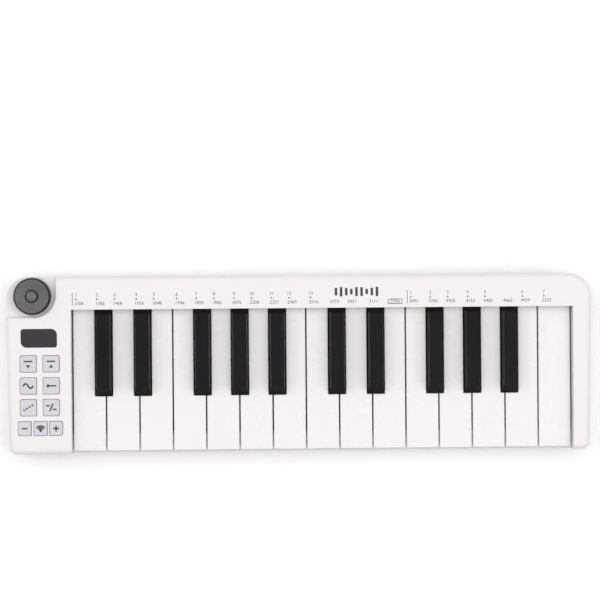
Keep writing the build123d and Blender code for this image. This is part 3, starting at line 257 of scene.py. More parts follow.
@dataclass(frozen=True)
class Finish:
    """One material: its tones, sheen and fine structure."""

    name: str
    light: Colour
    dark: Colour
    smoothest: float
    roughest: float
    surface: Surface = Surface.MOULDED
    drift_scale: float = 14.0
    grain_scale: float = 2600.0
    grain_depth: float = 0.00002
    grain_strength: float = 0.25
    metallic: float = 0.0
    coat: float = 0.0
    sheen: float = 0.0
    specular: float = 0.5
    subsurface: float = 0.0
    dust: float = 0.0
    stretch: tuple[float, float, float] = (1.0, 1.0, 1.0)

    def material(self) -> bpy.types.Material:
        """Make this finish's material, or find it if it is made already.

        Returns:
            The material.
        """
        found = bpy.data.materials.get(self.name)
        if found:
            return found
        made = bpy.data.materials.new(self.name)
        made.use_nodes = True
        made.diffuse_color = (*self.light, 1.0)
        tree = made.node_tree
        shader = tree.nodes["Principled BSDF"]
        place = add_node(tree, "ShaderNodeTexCoord").outputs["Object"]
        turned = add_node(tree, "ShaderNodeMapping", Vector=place, Scale=self.stretch).outputs[0]
        colour = self._colour(tree, place, turned)
        grain = add_node(
            tree,
            "ShaderNodeGroup",
            {"node_tree": bpy.data.node_groups["moulded_grain"]},
            Vector=turned,
            Scale=self.grain_scale,
            Smoothest=self.smoothest,
            Roughest=self.roughest,
        )
        bump = add_node(
            tree,
            "ShaderNodeBump",
            Strength=self.grain_strength,
            Distance=self.grain_depth,
            Height=grain.outputs["Height"],
        )
        tree.links.new(colour, shader.inputs["Base Color"])
        tree.links.new(grain.outputs["Roughness"], shader.inputs["Roughness"])
        tree.links.new(bump.outputs[0], shader.inputs["Normal"])
        shader.inputs["Metallic"].default_value = self.metallic
        shader.inputs["Coat Weight"].default_value = self.coat
        shader.inputs["Sheen Weight"].default_value = self.sheen
        shader.inputs["Specular IOR Level"].default_value = self.specular
        shader.inputs["Subsurface Weight"].default_value = self.subsurface
        shader.inputs["Subsurface Scale"].default_value = 1.5 * MM
        return made

    def _colour(
        self,
        tree: bpy.types.NodeTree,
        place: bpy.types.NodeSocket,
        turned: bpy.types.NodeSocket,
    ) -> bpy.types.NodeSocket:
        """Build the finish's colour.

        Args:
            tree: the material's node tree.
            place: the plain object coordinates.
            turned: the object coordinates stretched along the structure.

        Returns:
            The socket that carries the colour.
        """
        drift = add_node(
            tree,
            "ShaderNodeGroup",
            {"node_tree": bpy.data.node_groups["tone_drift"]},
            Vector=place if self.surface is Surface.MOULDED else turned,
            Light_Tone=(*self.light, 1.0),
            Dark_Tone=(*self.dark, 1.0),
            Scale=self.drift_scale,
        )
        colour = drift.outputs["Color"]
        if self.surface is Surface.TRACKS:
            tracks = add_node(
                tree,
                "ShaderNodeTexBrick",
                {"offset": 0.35},
                Vector=place,
                Color1=(*self.light, 1.0),
                Color2=(*self.dark, 1.0),
                Mortar=(0.02, 0.09, 0.045, 1.0),
                Scale=160.0,
                Mortar_Size=0.03,
            )
            mix = add_node(tree, "ShaderNodeMix", {"data_type": "RGBA"})
            mix.inputs["Factor"].default_value = 0.6
            tree.links.new(colour, mix.inputs[6])
            tree.links.new(tracks.outputs[0], mix.inputs[7])
            colour = mix.outputs[2]
        if self.dust > 0:
            dusted = add_node(
                tree,
                "ShaderNodeGroup",
                {"node_tree": bpy.data.node_groups["settled_dust"]},
                Vector=place,
                Color=colour,
                Dust=(0.7, 0.69, 0.67, 1.0),
                Amount=self.dust,
            )
            colour = dusted.outputs["Color"]
        return colour


SHELL_WHITE = Finish(
    "shell_white_satin", (0.806, 0.762, 0.762), (0.804, 0.76, 0.76), 0.38, 0.5, subsurface=0.04
)
BASE_GREY = Finish("base_warm_grey_satin", (0.62, 0.59, 0.585), (0.6, 0.57, 0.565), 0.45, 0.58)
WHITE_KEY = Finish(
    "key_white_semi_gloss",
    (0.81, 0.779, 0.773),
    (0.808, 0.777, 0.771),
    0.2,
    0.32,
    grain_scale=1500.0,
    grain_depth=0.00001,
    grain_strength=0.12,
    coat=0.15,
    subsurface=0.05,
)
BLACK_KEY = Finish(
    "key_black_satin",
    (0.0112, 0.0098, 0.0117),
    (0.0095, 0.0082, 0.0098),
    0.4,
    0.55,
    grain_scale=3200.0,
    grain_strength=0.35,
    specular=0.06,
    dust=0.03,
)
BUTTON_GREY = Finish(
    "button_cool_grey_satin",
    (0.61, 0.6, 0.636),
    (0.595, 0.586, 0.621),
    0.42,
    0.55,
    grain_scale=3400.0,
)
KNOB_GREY = Finish(
    "knob_dark_grey_satin",
    (0.14, 0.142, 0.142),
    (0.1, 0.103, 0.103),
    0.42,
    0.56,
    drift_scale=1100.0,
    grain_scale=1600.0,
    grain_strength=0.7,
    specular=0.35,
    dust=0.06,
)
# Near-black finish: a dark band on the knob's outer chamfer and rim, and painted shade on the moat
# round the nub.
KNOB_DARK_RIM_AND_MOAT_SHADE = Finish(
    "knob_rim_black", (0.014, 0.016, 0.015), (0.011, 0.012, 0.012), 0.5, 0.66, specular=0.2
)
KNOB_SIDE = Finish(
    "knob_side_rubbery_grey",
    (0.05, 0.056, 0.054),
    (0.036, 0.041, 0.039),
    0.5,
    0.66,
    grain_scale=3600.0,
    specular=0.3,
    dust=0.05,
)
SLIDER_GREY = Finish("slider_dark_grey", (0.06, 0.062, 0.065), (0.045, 0.047, 0.05), 0.4, 0.55)
LENS_SMOKE = Finish(
    "display_smoked_window",
    (0.022, 0.017, 0.025),
    (0.02, 0.015, 0.023),
    0.06,
    0.1,
    grain_strength=0.02,
    specular=0.2,
    coat=0.03,
)
MODULE_BLACK = Finish("display_module_black", (0.03, 0.03, 0.032), (0.02, 0.02, 0.022), 0.3, 0.45)
BOARD_GREEN = Finish(
    "board_solder_mask",
    (0.02, 0.15, 0.07),
    (0.015, 0.11, 0.05),
    0.25,
    0.4,
    surface=Surface.TRACKS,
    coat=0.3,
)
FRAME_GREY = Finish("frame_filled_plastic", (0.2, 0.2, 0.205), (0.16, 0.16, 0.165), 0.5, 0.65)
GROUND_STEEL = Finish(
    "ground_steel",
    (0.56, 0.56, 0.57),
    (0.46, 0.46, 0.47),
    0.2,
    0.38,
    surface=Surface.BRUSHED,
    metallic=1.0,
    stretch=(0.05, 1.0, 1.0),
)
PLATED_STEEL = Finish(
    "plated_steel",
    (0.62, 0.61, 0.6),
    (0.5, 0.49, 0.48),
    0.22,
    0.36,
    surface=Surface.BRUSHED,
    metallic=1.0,
    stretch=(1.0, 0.08, 1.0),
)
SCREW_DARK = Finish(
    "screw_zinc_dark",
    (0.2, 0.2, 0.2),
    (0.13, 0.13, 0.135),
    0.3,
    0.5,
    metallic=1.0,
    grain_scale=1800.0,
)
GOLD_PLATE = Finish("contact_gold", (0.78, 0.56, 0.25), (0.68, 0.46, 0.18), 0.2, 0.3, metallic=1.0)
SILICONE = Finish("dome_silicone", (0.6, 0.6, 0.58), (0.52, 0.52, 0.5), 0.4, 0.55, subsurface=0.3)
FELT_RED = Finish(
    "stop_felt",
    (0.32, 0.035, 0.035),
    (0.18, 0.018, 0.02),
    0.85,
    0.98,
    surface=Surface.FIBRES,
    grain_scale=5200.0,
    grain_depth=0.0002,
    grain_strength=0.9,
    sheen=0.5,
    drift_scale=700.0,
    stretch=(0.35, 1.0, 1.0),
)
POUCH_SILVER = Finish(
    "battery_pouch", (0.5, 0.51, 0.53), (0.42, 0.43, 0.45), 0.25, 0.4, metallic=0.6
)
LIGHT_PIPE = Finish(
    "light_pipe_smoked", (0.12, 0.115, 0.115), (0.09, 0.085, 0.085), 0.15, 0.25, coat=0.5
)
FOOT_RUBBER = Finish(
    "foot_rubber",
    (0.045, 0.045, 0.047),
    (0.03, 0.03, 0.032),
    0.7,
    0.85,
    grain_scale=1800.0,
    grain_depth=0.00006,
    grain_strength=0.5,
    dust=0.12,
)
RIBBON_WHITE = Finish(
    "ribbon_film", (0.7, 0.7, 0.68), (0.6, 0.6, 0.58), 0.3, 0.4, stretch=(0.05, 1, 1)
)
CHIP_BLACK = Finish("chip_resin", (0.03, 0.03, 0.03), (0.02, 0.02, 0.02), 0.5, 0.62)
PANEL_INK = Finish("panel_ink_grey", (0.03, 0.028, 0.03), (0.025, 0.023, 0.025), 0.45, 0.6)
BUTTON_INK = Finish("button_ink_slate", (0.03, 0.032, 0.037), (0.025, 0.027, 0.031), 0.45, 0.6)
REAR_INK = Finish("rear_ink_charcoal", (0.052, 0.055, 0.054), (0.042, 0.045, 0.044), 0.4, 0.55)
BASE_INK = Finish("base_ink_grey", (0.3, 0.29, 0.29), (0.26, 0.25, 0.25), 0.5, 0.6)
FLOOR_WHITE = Finish(
    "floor_white",
    (0.985, 0.985, 0.985),
    (0.98, 0.98, 0.98),
    0.8,
    0.9,
    grain_strength=0.0,
    specular=0.1,
)


def dress(node: bpy.types.Object, finish: Finish) -> None:
    """Give a CAD node or a piece one finish all over.

    Args:
        node: the object that gets the finish.
        finish: the finish.
    """
    material = finish.material()
    if not node.data.materials:
        node.data.materials.append(material)
    for slot in node.material_slots:
        slot.material = material


# ---------------------------------------------------------------- mesh helpers


def new_piece(name: str, mesh: bpy.types.Mesh) -> bpy.types.Object:
    """Put a finished mesh in the scene as an object at the origin."""
    piece = bpy.data.objects.new(name, mesh)
    bpy.context.scene.collection.objects.link(piece)
    return piece


def settle(piece: bpy.types.Object, body: str) -> bpy.types.Object:
    """Let a piece ride on a body and report it.

    Args:
        piece: the finished piece.
        body: the CAD body that carries it.

    Returns:
        The same piece.
    """
    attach(piece, body)
    log.info("piece %s rides on %s, %d faces", piece.name, body, len(piece.data.polygons))
    return piece


def mesh_from(name: str, shape: bmesh.types.BMesh, smooth_angle: float = 35.0) -> bpy.types.Mesh:
    """Turn a bmesh into a mesh with outward faces and smooth curved stretches.

    Args:
        name: the mesh's name.
        shape: the bmesh, which is freed.
        smooth_angle: edges sharper than this many degrees stay crisp.

    Returns:
        The new mesh.
    """
    bmesh.ops.remove_doubles(shape, verts=shape.verts, dist=1e-7)
    bmesh.ops.recalc_face_normals(shape, faces=shape.faces)
    for face in shape.faces:
        face.smooth = True
    limit = math.radians(smooth_angle)
    for edge in shape.edges:
        edge.smooth = len(edge.link_faces) == 2 and edge.calc_face_angle(0.0) < limit
    mesh = bpy.data.meshes.new(name)
    shape.to_mesh(mesh)
    shape.free()
    return mesh


def add_prism(shape: bmesh.types.BMesh, outline: list[Vector], low: Vector, high: Vector) -> None:
    """Add a closed prism to a bmesh.

    Args:
        shape: the bmesh that gets the prism.
        outline: the base's corners, in order.
        low: offset of the lower face from the outline.
        high: offset of the upper face from the outline.
    """
    lower = [shape.verts.new(p + low) for p in outline]
    upper = [shape.verts.new(p + high) for p in outline]
    shape.faces.new(lower)
    shape.faces.new(upper)
    for i, corner in enumerate(lower):
        j = (i + 1) % len(lower)
        shape.faces.new((corner, lower[j], upper[j], upper[i]))


def add_lathe(
    shape: bmesh.types.BMesh, profile: list[tuple[float, float]], centre: Vector, steps: int
) -> None:
    """Add a solid of revolution about a vertical axis.

    Args:
        shape: the bmesh that gets the solid.
        profile: (radius, height) pairs from the axis and back to the axis.
        centre: a point on the axis, with height 0.
        steps: how many steps make the turn.
    """
    rings = []
    for radius, height in profile:
        if radius < 1e-9:
            rings.append([shape.verts.new(centre + Vector((0, 0, height)))])
            continue
        turn = [2 * math.pi * k / steps for k in range(steps)]
        ring = [centre + Vector((radius * math.cos(a), radius * math.sin(a), height)) for a in turn]
        rings.append([shape.verts.new(p) for p in ring])
    for below, above in zip(rings[:-1], rings[1:]):
        for k in range(steps):
            n = (k + 1) % steps
            if len(below) == 1:
                shape.faces.new((below[0], above[n], above[k]))
            elif len(above) == 1:
                shape.faces.new((below[k], below[n], above[0]))
            else:
                shape.faces.new((below[k], below[n], above[n], above[k]))


# ---------------------------------------------------------------- repeated shapes


class MarkShape(Enum):
    """The small solid that is repeated at each point."""

    BLOCK = "block"
    ARROW = "arrow"
    RIB = "rib"


ROUND_STEPS = {MarkShape.ARROW: 3, MarkShape.RIB: 6}


def marks_tree(shape: MarkShape) -> bpy.types.NodeTree:
    """Build the tree that puts one small solid on every point of a mesh.

    Each point carries its own size and turn as attributes.

    Args:
        shape: which solid is repeated.

    Returns:
        The geometry node tree, made once for each shape.
    """
    name = f"marks_{shape.value}"
    found = bpy.data.node_groups.get(name)
    if found:
        return found
    tree = new_group(
        name,
        "GeometryNodeTree",
        [
            ("Points", Socket.GEOMETRY),
            ("Size", Socket.VECTOR, (1.0, 1.0, 1.0)),
            ("Material", Socket.MATERIAL),
        ],
        [("Marks", Socket.GEOMETRY)],
    )
    enter = add_node(tree, "NodeGroupInput").outputs
    leave = add_node(tree, "NodeGroupOutput")
    if shape is MarkShape.BLOCK:
        solid = add_node(tree, "GeometryNodeMeshCube", Size=(1.0, 1.0, 1.0))
    else:
        solid = add_node(
            tree, "GeometryNodeMeshCylinder", Vertices=ROUND_STEPS[shape], Radius=0.5, Depth=1.0
        )
    kind = "GeometryNodeInputNamedAttribute"
    own_size = add_node(tree, kind, {"data_type": "FLOAT_VECTOR"}, Name="mark_size")
    own_turn = add_node(tree, kind, {"data_type": "FLOAT_VECTOR"}, Name="mark_turn")
    size = add_node(
        tree,
        "ShaderNodeVectorMath",
        {"operation": "MULTIPLY"},
        _0=enter["Size"],
        _1=own_size.outputs[0],
    )
    placed = add_node(
        tree,
        "GeometryNodeInstanceOnPoints",
        Points=enter["Points"],
        Instance=solid.outputs["Mesh"],
        Scale=size.outputs[0],
    )
    turned = add_node(tree, "FunctionNodeEulerToRotation", Euler=own_turn.outputs[0])
    tree.links.new(turned.outputs[0], placed.inputs["Rotation"])
    real = add_node(tree, "GeometryNodeRealizeInstances", Geometry=placed.outputs[0])
    coloured = add_node(
        tree, "GeometryNodeSetMaterial", Geometry=real.outputs[0], Material=enter["Material"]
    )
    tree.links.new(coloured.outputs[0], leave.inputs["Marks"])
    return tree


@dataclass
class Mark:
    """One repeated solid: its middle, its size and its turn."""

    place: Vector
    size: tuple[float, float, float]
    turn: tuple[float, float, float] = (0.0, 0.0, 0.0)


def repeat_marks(
    name: str, marks: list[Mark], shape: MarkShape, finish: Finish
) -> bpy.types.Object:
    """Make one plain mesh piece from many marks.

    Args:
        name: the piece's name.
        marks: where each solid goes, and its size.
        shape: which solid is repeated.
        finish: the piece's finish.

    Returns:
        The piece, at the origin, with no modifier left.
    """
    points = bpy.data.meshes.new(name + "_points")
    points.from_pydata([m.place for m in marks], [], [])
    layers = {"mark_size": [m.size for m in marks], "mark_turn": [m.turn for m in marks]}
    for title, values in layers.items():
        layer = points.attributes.new(title, "FLOAT_VECTOR", "POINT")
        layer.data.foreach_set("vector", [c for v in values for c in v])
    carrier = new_piece(name + "_points", points)
    tree = marks_tree(shape)
    modifier = carrier.modifiers.new("marks", "NODES")
    modifier.node_group = tree
    sockets = [item for item in tree.interface.items_tree if item.in_out == "INPUT"]
    inputs = {item.name: item.identifier for item in sockets}
    modifier[inputs["Size"]] = (1.0, 1.0, 1.0)
    modifier[inputs["Material"]] = finish.material()
    graph = bpy.context.evaluated_depsgraph_get()
    mesh = bpy.data.meshes.new_from_object(carrier.evaluated_get(graph))
    bpy.data.objects.remove(carrier)
    mesh.name = name
    piece = new_piece(name, mesh)
    dress(piece, finish)
    return piece


# ---------------------------------------------------------------- printing


@dataclass
class InkSheet:
    """A flat print on one face: thin raised shapes drawn in the face's own directions."""

    name: str
    across: Vector
    up: Vector
    shape: bmesh.types.BMesh = field(default_factory=bmesh.new)

    @property
    def out(self) -> Vector:
        """The direction that the printed face looks in."""
        return self.across.cross(self.up).normalized()

    def polygon(self, origin: Vector, outline: list[tuple[float, float]]) -> None:
        """Print a filled outline, given around the origin in the face's directions."""
        corners = [origin + self.across * x + self.up * y for x, y in outline]
        add_prism(self.shape, corners, -self.out * INK_SINK, self.out * INK_THICKNESS)

    def bar(self, origin: Vector, middle: tuple[float, float], size: tuple[float, float]) -> None:
        """Print an upright rectangle."""
        (x, y), (w, h) = middle, (size[0] / 2, size[1] / 2)
        self.polygon(origin, [(x - w, y - h), (x + w, y - h), (x + w, y + h), (x - w, y + h)])

    def stroke(self, origin: Vector, points: list[tuple[float, float]], width: float) -> None:
        """Print an open line of even width through the points.

        Args:
            origin: the point that the line is drawn around.
            points: the line's corners, in the face's directions.
            width: the line's width.
        """
        for (x0, y0), (x1, y1) in zip(points[:-1], points[1:]):
            run = Vector((x1 - x0, y1 - y0))
            if run.length < 1e-9:
                continue
            side = Vector((-run.y, run.x)).normalized() * width / 2
            tip = run.normalized() * width * 0.2
            self.polygon(
                origin,
                [
                    (x0 - tip.x - side.x, y0 - tip.y - side.y),
                    (x1 + tip.x - side.x, y1 + tip.y - side.y),
                    (x1 + tip.x + side.x, y1 + tip.y + side.y),
                    (x0 - tip.x + side.x, y0 - tip.y + side.y),
                ],
            )

    def disc(self, origin: Vector, middle: tuple[float, float], radius: float) -> None:
        """Print a filled circle."""
        (x, y), steps = middle, 20
        turn = [2 * math.pi * k / steps for k in range(steps)]
        rim = [(x + radius * math.cos(a), y + radius * math.sin(a)) for a in turn]
        self.polygon(origin, rim)

    def frame(
        self,
        origin: Vector,
        middle: tuple[float, float],
        size: tuple[float, float],
        width: float,
    ) -> None:
        """Print the outline of a rectangle.

        Args:
            origin: the point that the rectangle is drawn around.
            middle: the rectangle's middle, in the face's directions.
            size: its width and height, to the middle of the line.
            width: the line's width.
        """
        (x, y), (w, h) = middle, (size[0] / 2, size[1] / 2)
        corners = [(x - w, y - h), (x + w, y - h), (x + w, y + h), (x - w, y + h), (x - w, y - h)]
        self.stroke(origin, corners, width)

    def number(self, origin: Vector, value: int, height: float) -> None:
        """Print a plain whole number, centred on the origin.

        Args:
            origin: the middle of the number.
            value: the number.
            height: the height of its figures.
        """
        curve = bpy.data.curves.new("numeral", "FONT")
        curve.body = str(value)
        curve.size = height * 1.4
        curve.align_x = "CENTER"
        curve.align_y = "CENTER"
        curve.resolution_u = 3
        curve.extrude = INK_THICKNESS / 2
        holder = new_piece("numeral", curve)
        mesh = bpy.data.meshes.new_from_object(holder)
        bpy.data.objects.remove(holder)
        basis = Matrix((self.across, self.up, self.out)).transposed().to_4x4()
        mesh.transform(Matrix.Translation(origin) @ basis)
        self.shape.from_mesh(mesh)
        bpy.data.meshes.remove(mesh)

    def finish(self, ink: Finish) -> bpy.types.Object:
        """Close the print and return it as a piece in its ink."""
        piece = new_piece(self.name, mesh_from(self.name, self.shape))
        dress(piece, ink)
        return piece


class Symbol(Enum):
    """What is printed on a button."""

    STEP_DOWN = "step_down"
    STEP_UP = "step_up"
    WAVE = "wave"
    HOLD = "hold"
    STAIRS = "stairs"
    LADDER = "ladder"
    MINUS = "minus"
    RADIO = "radio"
    PLUS = "plus"


def print_symbol(sheet: InkSheet, symbol: Symbol, origin: Vector, size: float) -> None:
    """Print one symbol on a button.

    Args:
        sheet: the print that gets it.
        symbol: which symbol.
        origin: the middle of the button's face.
        size: half the symbol's height.
    """
    line = size * 0.32
    if symbol in (Symbol.STEP_DOWN, Symbol.STEP_UP):
        way = 1 if symbol is Symbol.STEP_UP else -1
        base = size * 0.55
        sheet.bar(origin, (0, base), (size * 1.9, line))
        foot = -base - way * size * 0.28
        tip = -base + way * size * 0.4
        sheet.polygon(origin, [(-size * 0.5, foot), (size * 0.5, foot), (0, tip)])
    elif symbol is Symbol.WAVE:
        steps = [k / 16 for k in range(17)]
        wave = [((t * 2 - 1) * size * 1.1, math.sin(t * 2 * math.pi) * size * 0.5) for t in steps]
        sheet.stroke(origin, wave, line)
    elif symbol is Symbol.HOLD:
        sheet.disc(origin, (-size * 0.7, 0), size * 0.34)
        sheet.bar(origin, (size * 0.35, 0), (size * 1.5, line))
    elif symbol is Symbol.STAIRS:
        for k in range(4):
            middle = ((k - 1.5) * size * 0.6, (k - 1.5) * size * 0.36)
            sheet.bar(origin, middle, (size * 0.46, line))
    elif symbol is Symbol.LADDER:
        sheet.stroke(origin, [(-size * 0.35, -size * 0.8), (size * 0.35, size * 0.8)], line)
        sheet.bar(origin, (-size * 0.75, size * 0.4), (size * 0.8, line))
        sheet.bar(origin, (size * 0.75, -size * 0.4), (size * 0.8, line))
    elif symbol is Symbol.RADIO:
        for k in range(3):
            reach = size * (0.35 + 0.4 * k)
            turn = [math.radians(a) for a in range(40, 141, 20)]
            arc = [(reach * math.cos(a), reach * math.sin(a) - size * 0.6) for a in turn]
            sheet.stroke(origin, arc, line)
        sheet.disc(origin, (0, -size * 0.62), size * 0.2)
    else:
        sheet.bar(origin, (0, 0), (size * 1.3, line))
        if symbol is Symbol.PLUS:
            sheet.bar(origin, (0, 0), (line, size * 1.3))


# ---------------------------------------------------------------- sub-assemblies


@dataclass
class Casing:
    """The two shells, feet and case screws, with the rear and base prints."""

    nodes: dict
    picture_from: float = -18 * MM
    picture_to: float = 58 * MM
    picture_height: float = 7.5 * MM
    meter_from: float = 64 * MM
    meter_to: float = 148 * MM
    meter_height: float = 13.5 * MM
    meter_bars: int = 22
    print_height: float = 16.4 * MM
    picture_line: float = 0.45 * MM
    picture_keys: int = 15
    base_line: float = 0.5 * MM

    def build(self) -> None:
        """Dress the shells and print on them."""
        dress(self.nodes["top_case"], SHELL_WHITE)
        dress(self.nodes["bottom_case"], BASE_GREY)
        dress(self.nodes["rubber_feet"], FOOT_RUBBER)
        dress(self.nodes["case_screws"], SCREW_DARK)
        self._rear_print()
        self._base_print()

    def _rear_print(self) -> None:
        """Print a level meter and a small keyboard picture on the rear face."""
        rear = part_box("top_case")[1].y
        sheet = InkSheet("rear_print", Vector((-1, 0, 0)), Vector((0, 0, 1)))
        pitch = (self.meter_to - self.meter_from) / self.meter_bars
        for k in range(self.meter_bars):
            level = 0.3 + 0.7 * abs(math.sin(0.55 * k + 0.4) * math.cos(0.21 * k))
            x = self.meter_from + (k + 0.5) * pitch
            spot = Vector((x, rear, self.print_height))
            sheet.bar(spot, (0, 0), (pitch * 0.55, self.meter_height * level))
        middle = (self.picture_from + self.picture_to) / 2
        width = self.picture_to - self.picture_from
        spot = Vector((middle, rear, self.print_height))
        height = self.picture_height
        sheet.frame(spot, (0, 0), (width, height), self.picture_line)
        step = width / self.picture_keys
        for k in range(1, self.picture_keys):
            x = k * step - width / 2
            sheet.bar(spot, (x, 0), (self.picture_line * 0.7, height))
            if k % 7 not in (0, 3):
                sheet.bar(spot, (x, height * 0.2), (step * 0.5, height * 0.6))
        settle(sheet.finish(REAR_INK), "case")

    def _base_print(self) -> None:
        """Print a small frame with plain symbols on the underside."""
        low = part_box("bottom_case")[0].z
        sheet = InkSheet("base_print", Vector((-1, 0, 0)), Vector((0, 1, 0)))
        spot = Vector((0, 4 * MM, low))
        sheet.frame(spot, (0, 0), (64 * MM, 22 * MM), self.base_line)
        for k in range(4):
            sheet.bar(spot, (-8 * MM, (6 - 4 * k) * MM), ((40 - 6 * (k % 2)) * MM, 0.7 * MM))
        for side in (9 * MM, 4.5 * MM):
            sheet.frame(spot, (22 * MM, 0), (side, side), self.base_line)
        settle(sheet.finish(BASE_INK), "case")


@dataclass
class KeyBed:
    """The keys and the works below them."""

    nodes: dict

    def build(self) -> None:
        """Dress every key and everything under the keys."""
        for name, node in self.nodes.items():
            if name.startswith("white_key"):
                dress(node, WHITE_KEY)
            elif name.startswith("black_key"):
                dress(node, BLACK_KEY)
        for name, finish in (
            ("key_frame", FRAME_GREY),
            ("key_pivot_rod", GROUND_STEEL),
            ("felt_strips", FELT_RED),
            ("key_contact_board", BOARD_GREEN),
            ("key_dome_strip", SILICONE),
        ):
            dress(self.nodes[name], finish)


@dataclass
class ControlPanel:
    """Buttons, display and the prints on the top face."""

    nodes: dict
    symbol_size: float = 2.5 * MM
    marker_inset: float = 2.2 * MM
    sharp_inset: float = 1.4 * MM
    marker_size: float = 1.4 * MM
    marker_y: float = 36.4 * MM
    upper_y: float = 38.8 * MM
    lower_y: float = 34.0 * MM
    numeral_height: float = 1.85 * MM
    label_shift: float = 1.6 * MM
    boxed_label: tuple[float, float] = (7.6 * MM, 2.5 * MM)
    boxed_shift: float = 2.3 * MM
    line: float = 0.32 * MM
    separator_height: float = 7.2 * MM
    separator_inset: float = 2.0 * MM
    emblem_from: float = 18.5 * MM
    emblem_to: float = 44 * MM
    emblem_height: float = 5.2 * MM

    def build(self) -> None:
        """Dress the controls and print their symbols."""
        for button, symbol in zip(BUTTON_NODES, Symbol):
            dress(self.nodes[button], BUTTON_GREY)
            self._button_print(button, symbol)
        dress(self.nodes["display_lens"], LENS_SMOKE)
        dress(self.nodes["display_module"], MODULE_BLACK)
        dress(self.nodes["panel_board"], BOARD_GREEN)
        dress(self.nodes["button_dome_mat"], SILICONE)
        self._key_functions_print()

    def _button_print(self, button: str, symbol: Symbol) -> None:
        """Print one button's symbol, which moves with the button.

        Args:
            button: the button's node and body.
            symbol: what is printed on it.
        """
        low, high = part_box(button)
        spot = Vector(((low.x + high.x) / 2, (low.y + high.y) / 2, high.z))
        sheet = InkSheet(f"{button}_symbol", Vector((1, 0, 0)), Vector((0, 1, 0)))
        print_symbol(sheet, symbol, spot, self.symbol_size)
        settle(sheet.finish(BUTTON_INK), button)

    def _key_functions_print(self) -> None:
        """Print the row of markers, numbers and ticks behind the keys."""
        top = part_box("top_case")[1].z
        sheet = InkSheet("panel_print", Vector((1, 0, 0)), Vector((0, 1, 0)))
        arrows = []
        keys = sorted(
            (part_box(n)[0].x, n) for n in self.nodes if n.startswith(("white_key", "black_key"))
        )
        sharps = [(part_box(n)[0].x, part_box(n)[1].x) for _, n in keys if n.startswith("black")]
        for index, (left, name) in enumerate(keys):
            x = left
            if name.startswith("white"):
                x = max([left] + [high for low, high in sharps if low - 1 * MM < left < high])
                x += self.marker_inset
            else:
                x += self.sharp_inset
            label = Vector((x + self.label_shift, self.lower_y, top))
            if index == BOXED_KEY:
                label.x += self.boxed_shift
                sheet.frame(label, (0, 0), self.boxed_label, self.line)
            decihertz = round(LOWEST_HERTZ * 10 * 2 ** (index / 12))
            sheet.number(label, decihertz, self.numeral_height)
            if index in MARKED_KEYS:
                size = (self.marker_size, self.marker_size, 2 * INK_THICKNESS)
                arrows.append(Mark(Vector((x, self.marker_y, top)), size, (0, 0, math.pi / 2)))
                place = Vector((x, self.upper_y, top))
                sheet.number(place, MARKED_KEYS.index(index) % 13 + 1, self.numeral_height)
            if index in GROUP_STARTS:
                place = Vector((x - self.separator_inset, (self.upper_y + self.lower_y) / 2, top))
                sheet.bar(place, (0, 0), (self.line, self.separator_height))
        count = 9
        pitch = (self.emblem_to - self.emblem_from) / count
        for k in range(count):
            level = 0.45 + 0.55 * abs(math.sin(0.9 * k + 0.7))
            x = self.emblem_from + (k + 0.5) * pitch
            place = Vector((x, self.upper_y + 0.7 * MM, top))
            sheet.bar(place, (0, 0), (pitch * 0.5, self.emblem_height * level))
        settle(sheet.finish(PANEL_INK), "case")
        markers = repeat_marks("panel_markers", arrows, MarkShape.ARROW, PANEL_INK)
        settle(markers, "case")


BUTTON_NODES = (
    "button_pitch_down",
    "button_pitch_up",
    "button_modulation",
    "button_sustain",
    "button_arpeggio",
    "button_scale",
    "button_octave_down",
    "button_wireless",
    "button_octave_up",
)
MARKED_KEYS = (*range(13), *range(17, 22), 23, 24)
GROUP_STARTS = (0, 17)
BOXED_KEY = 16
LOWEST_HERTZ = 130.81


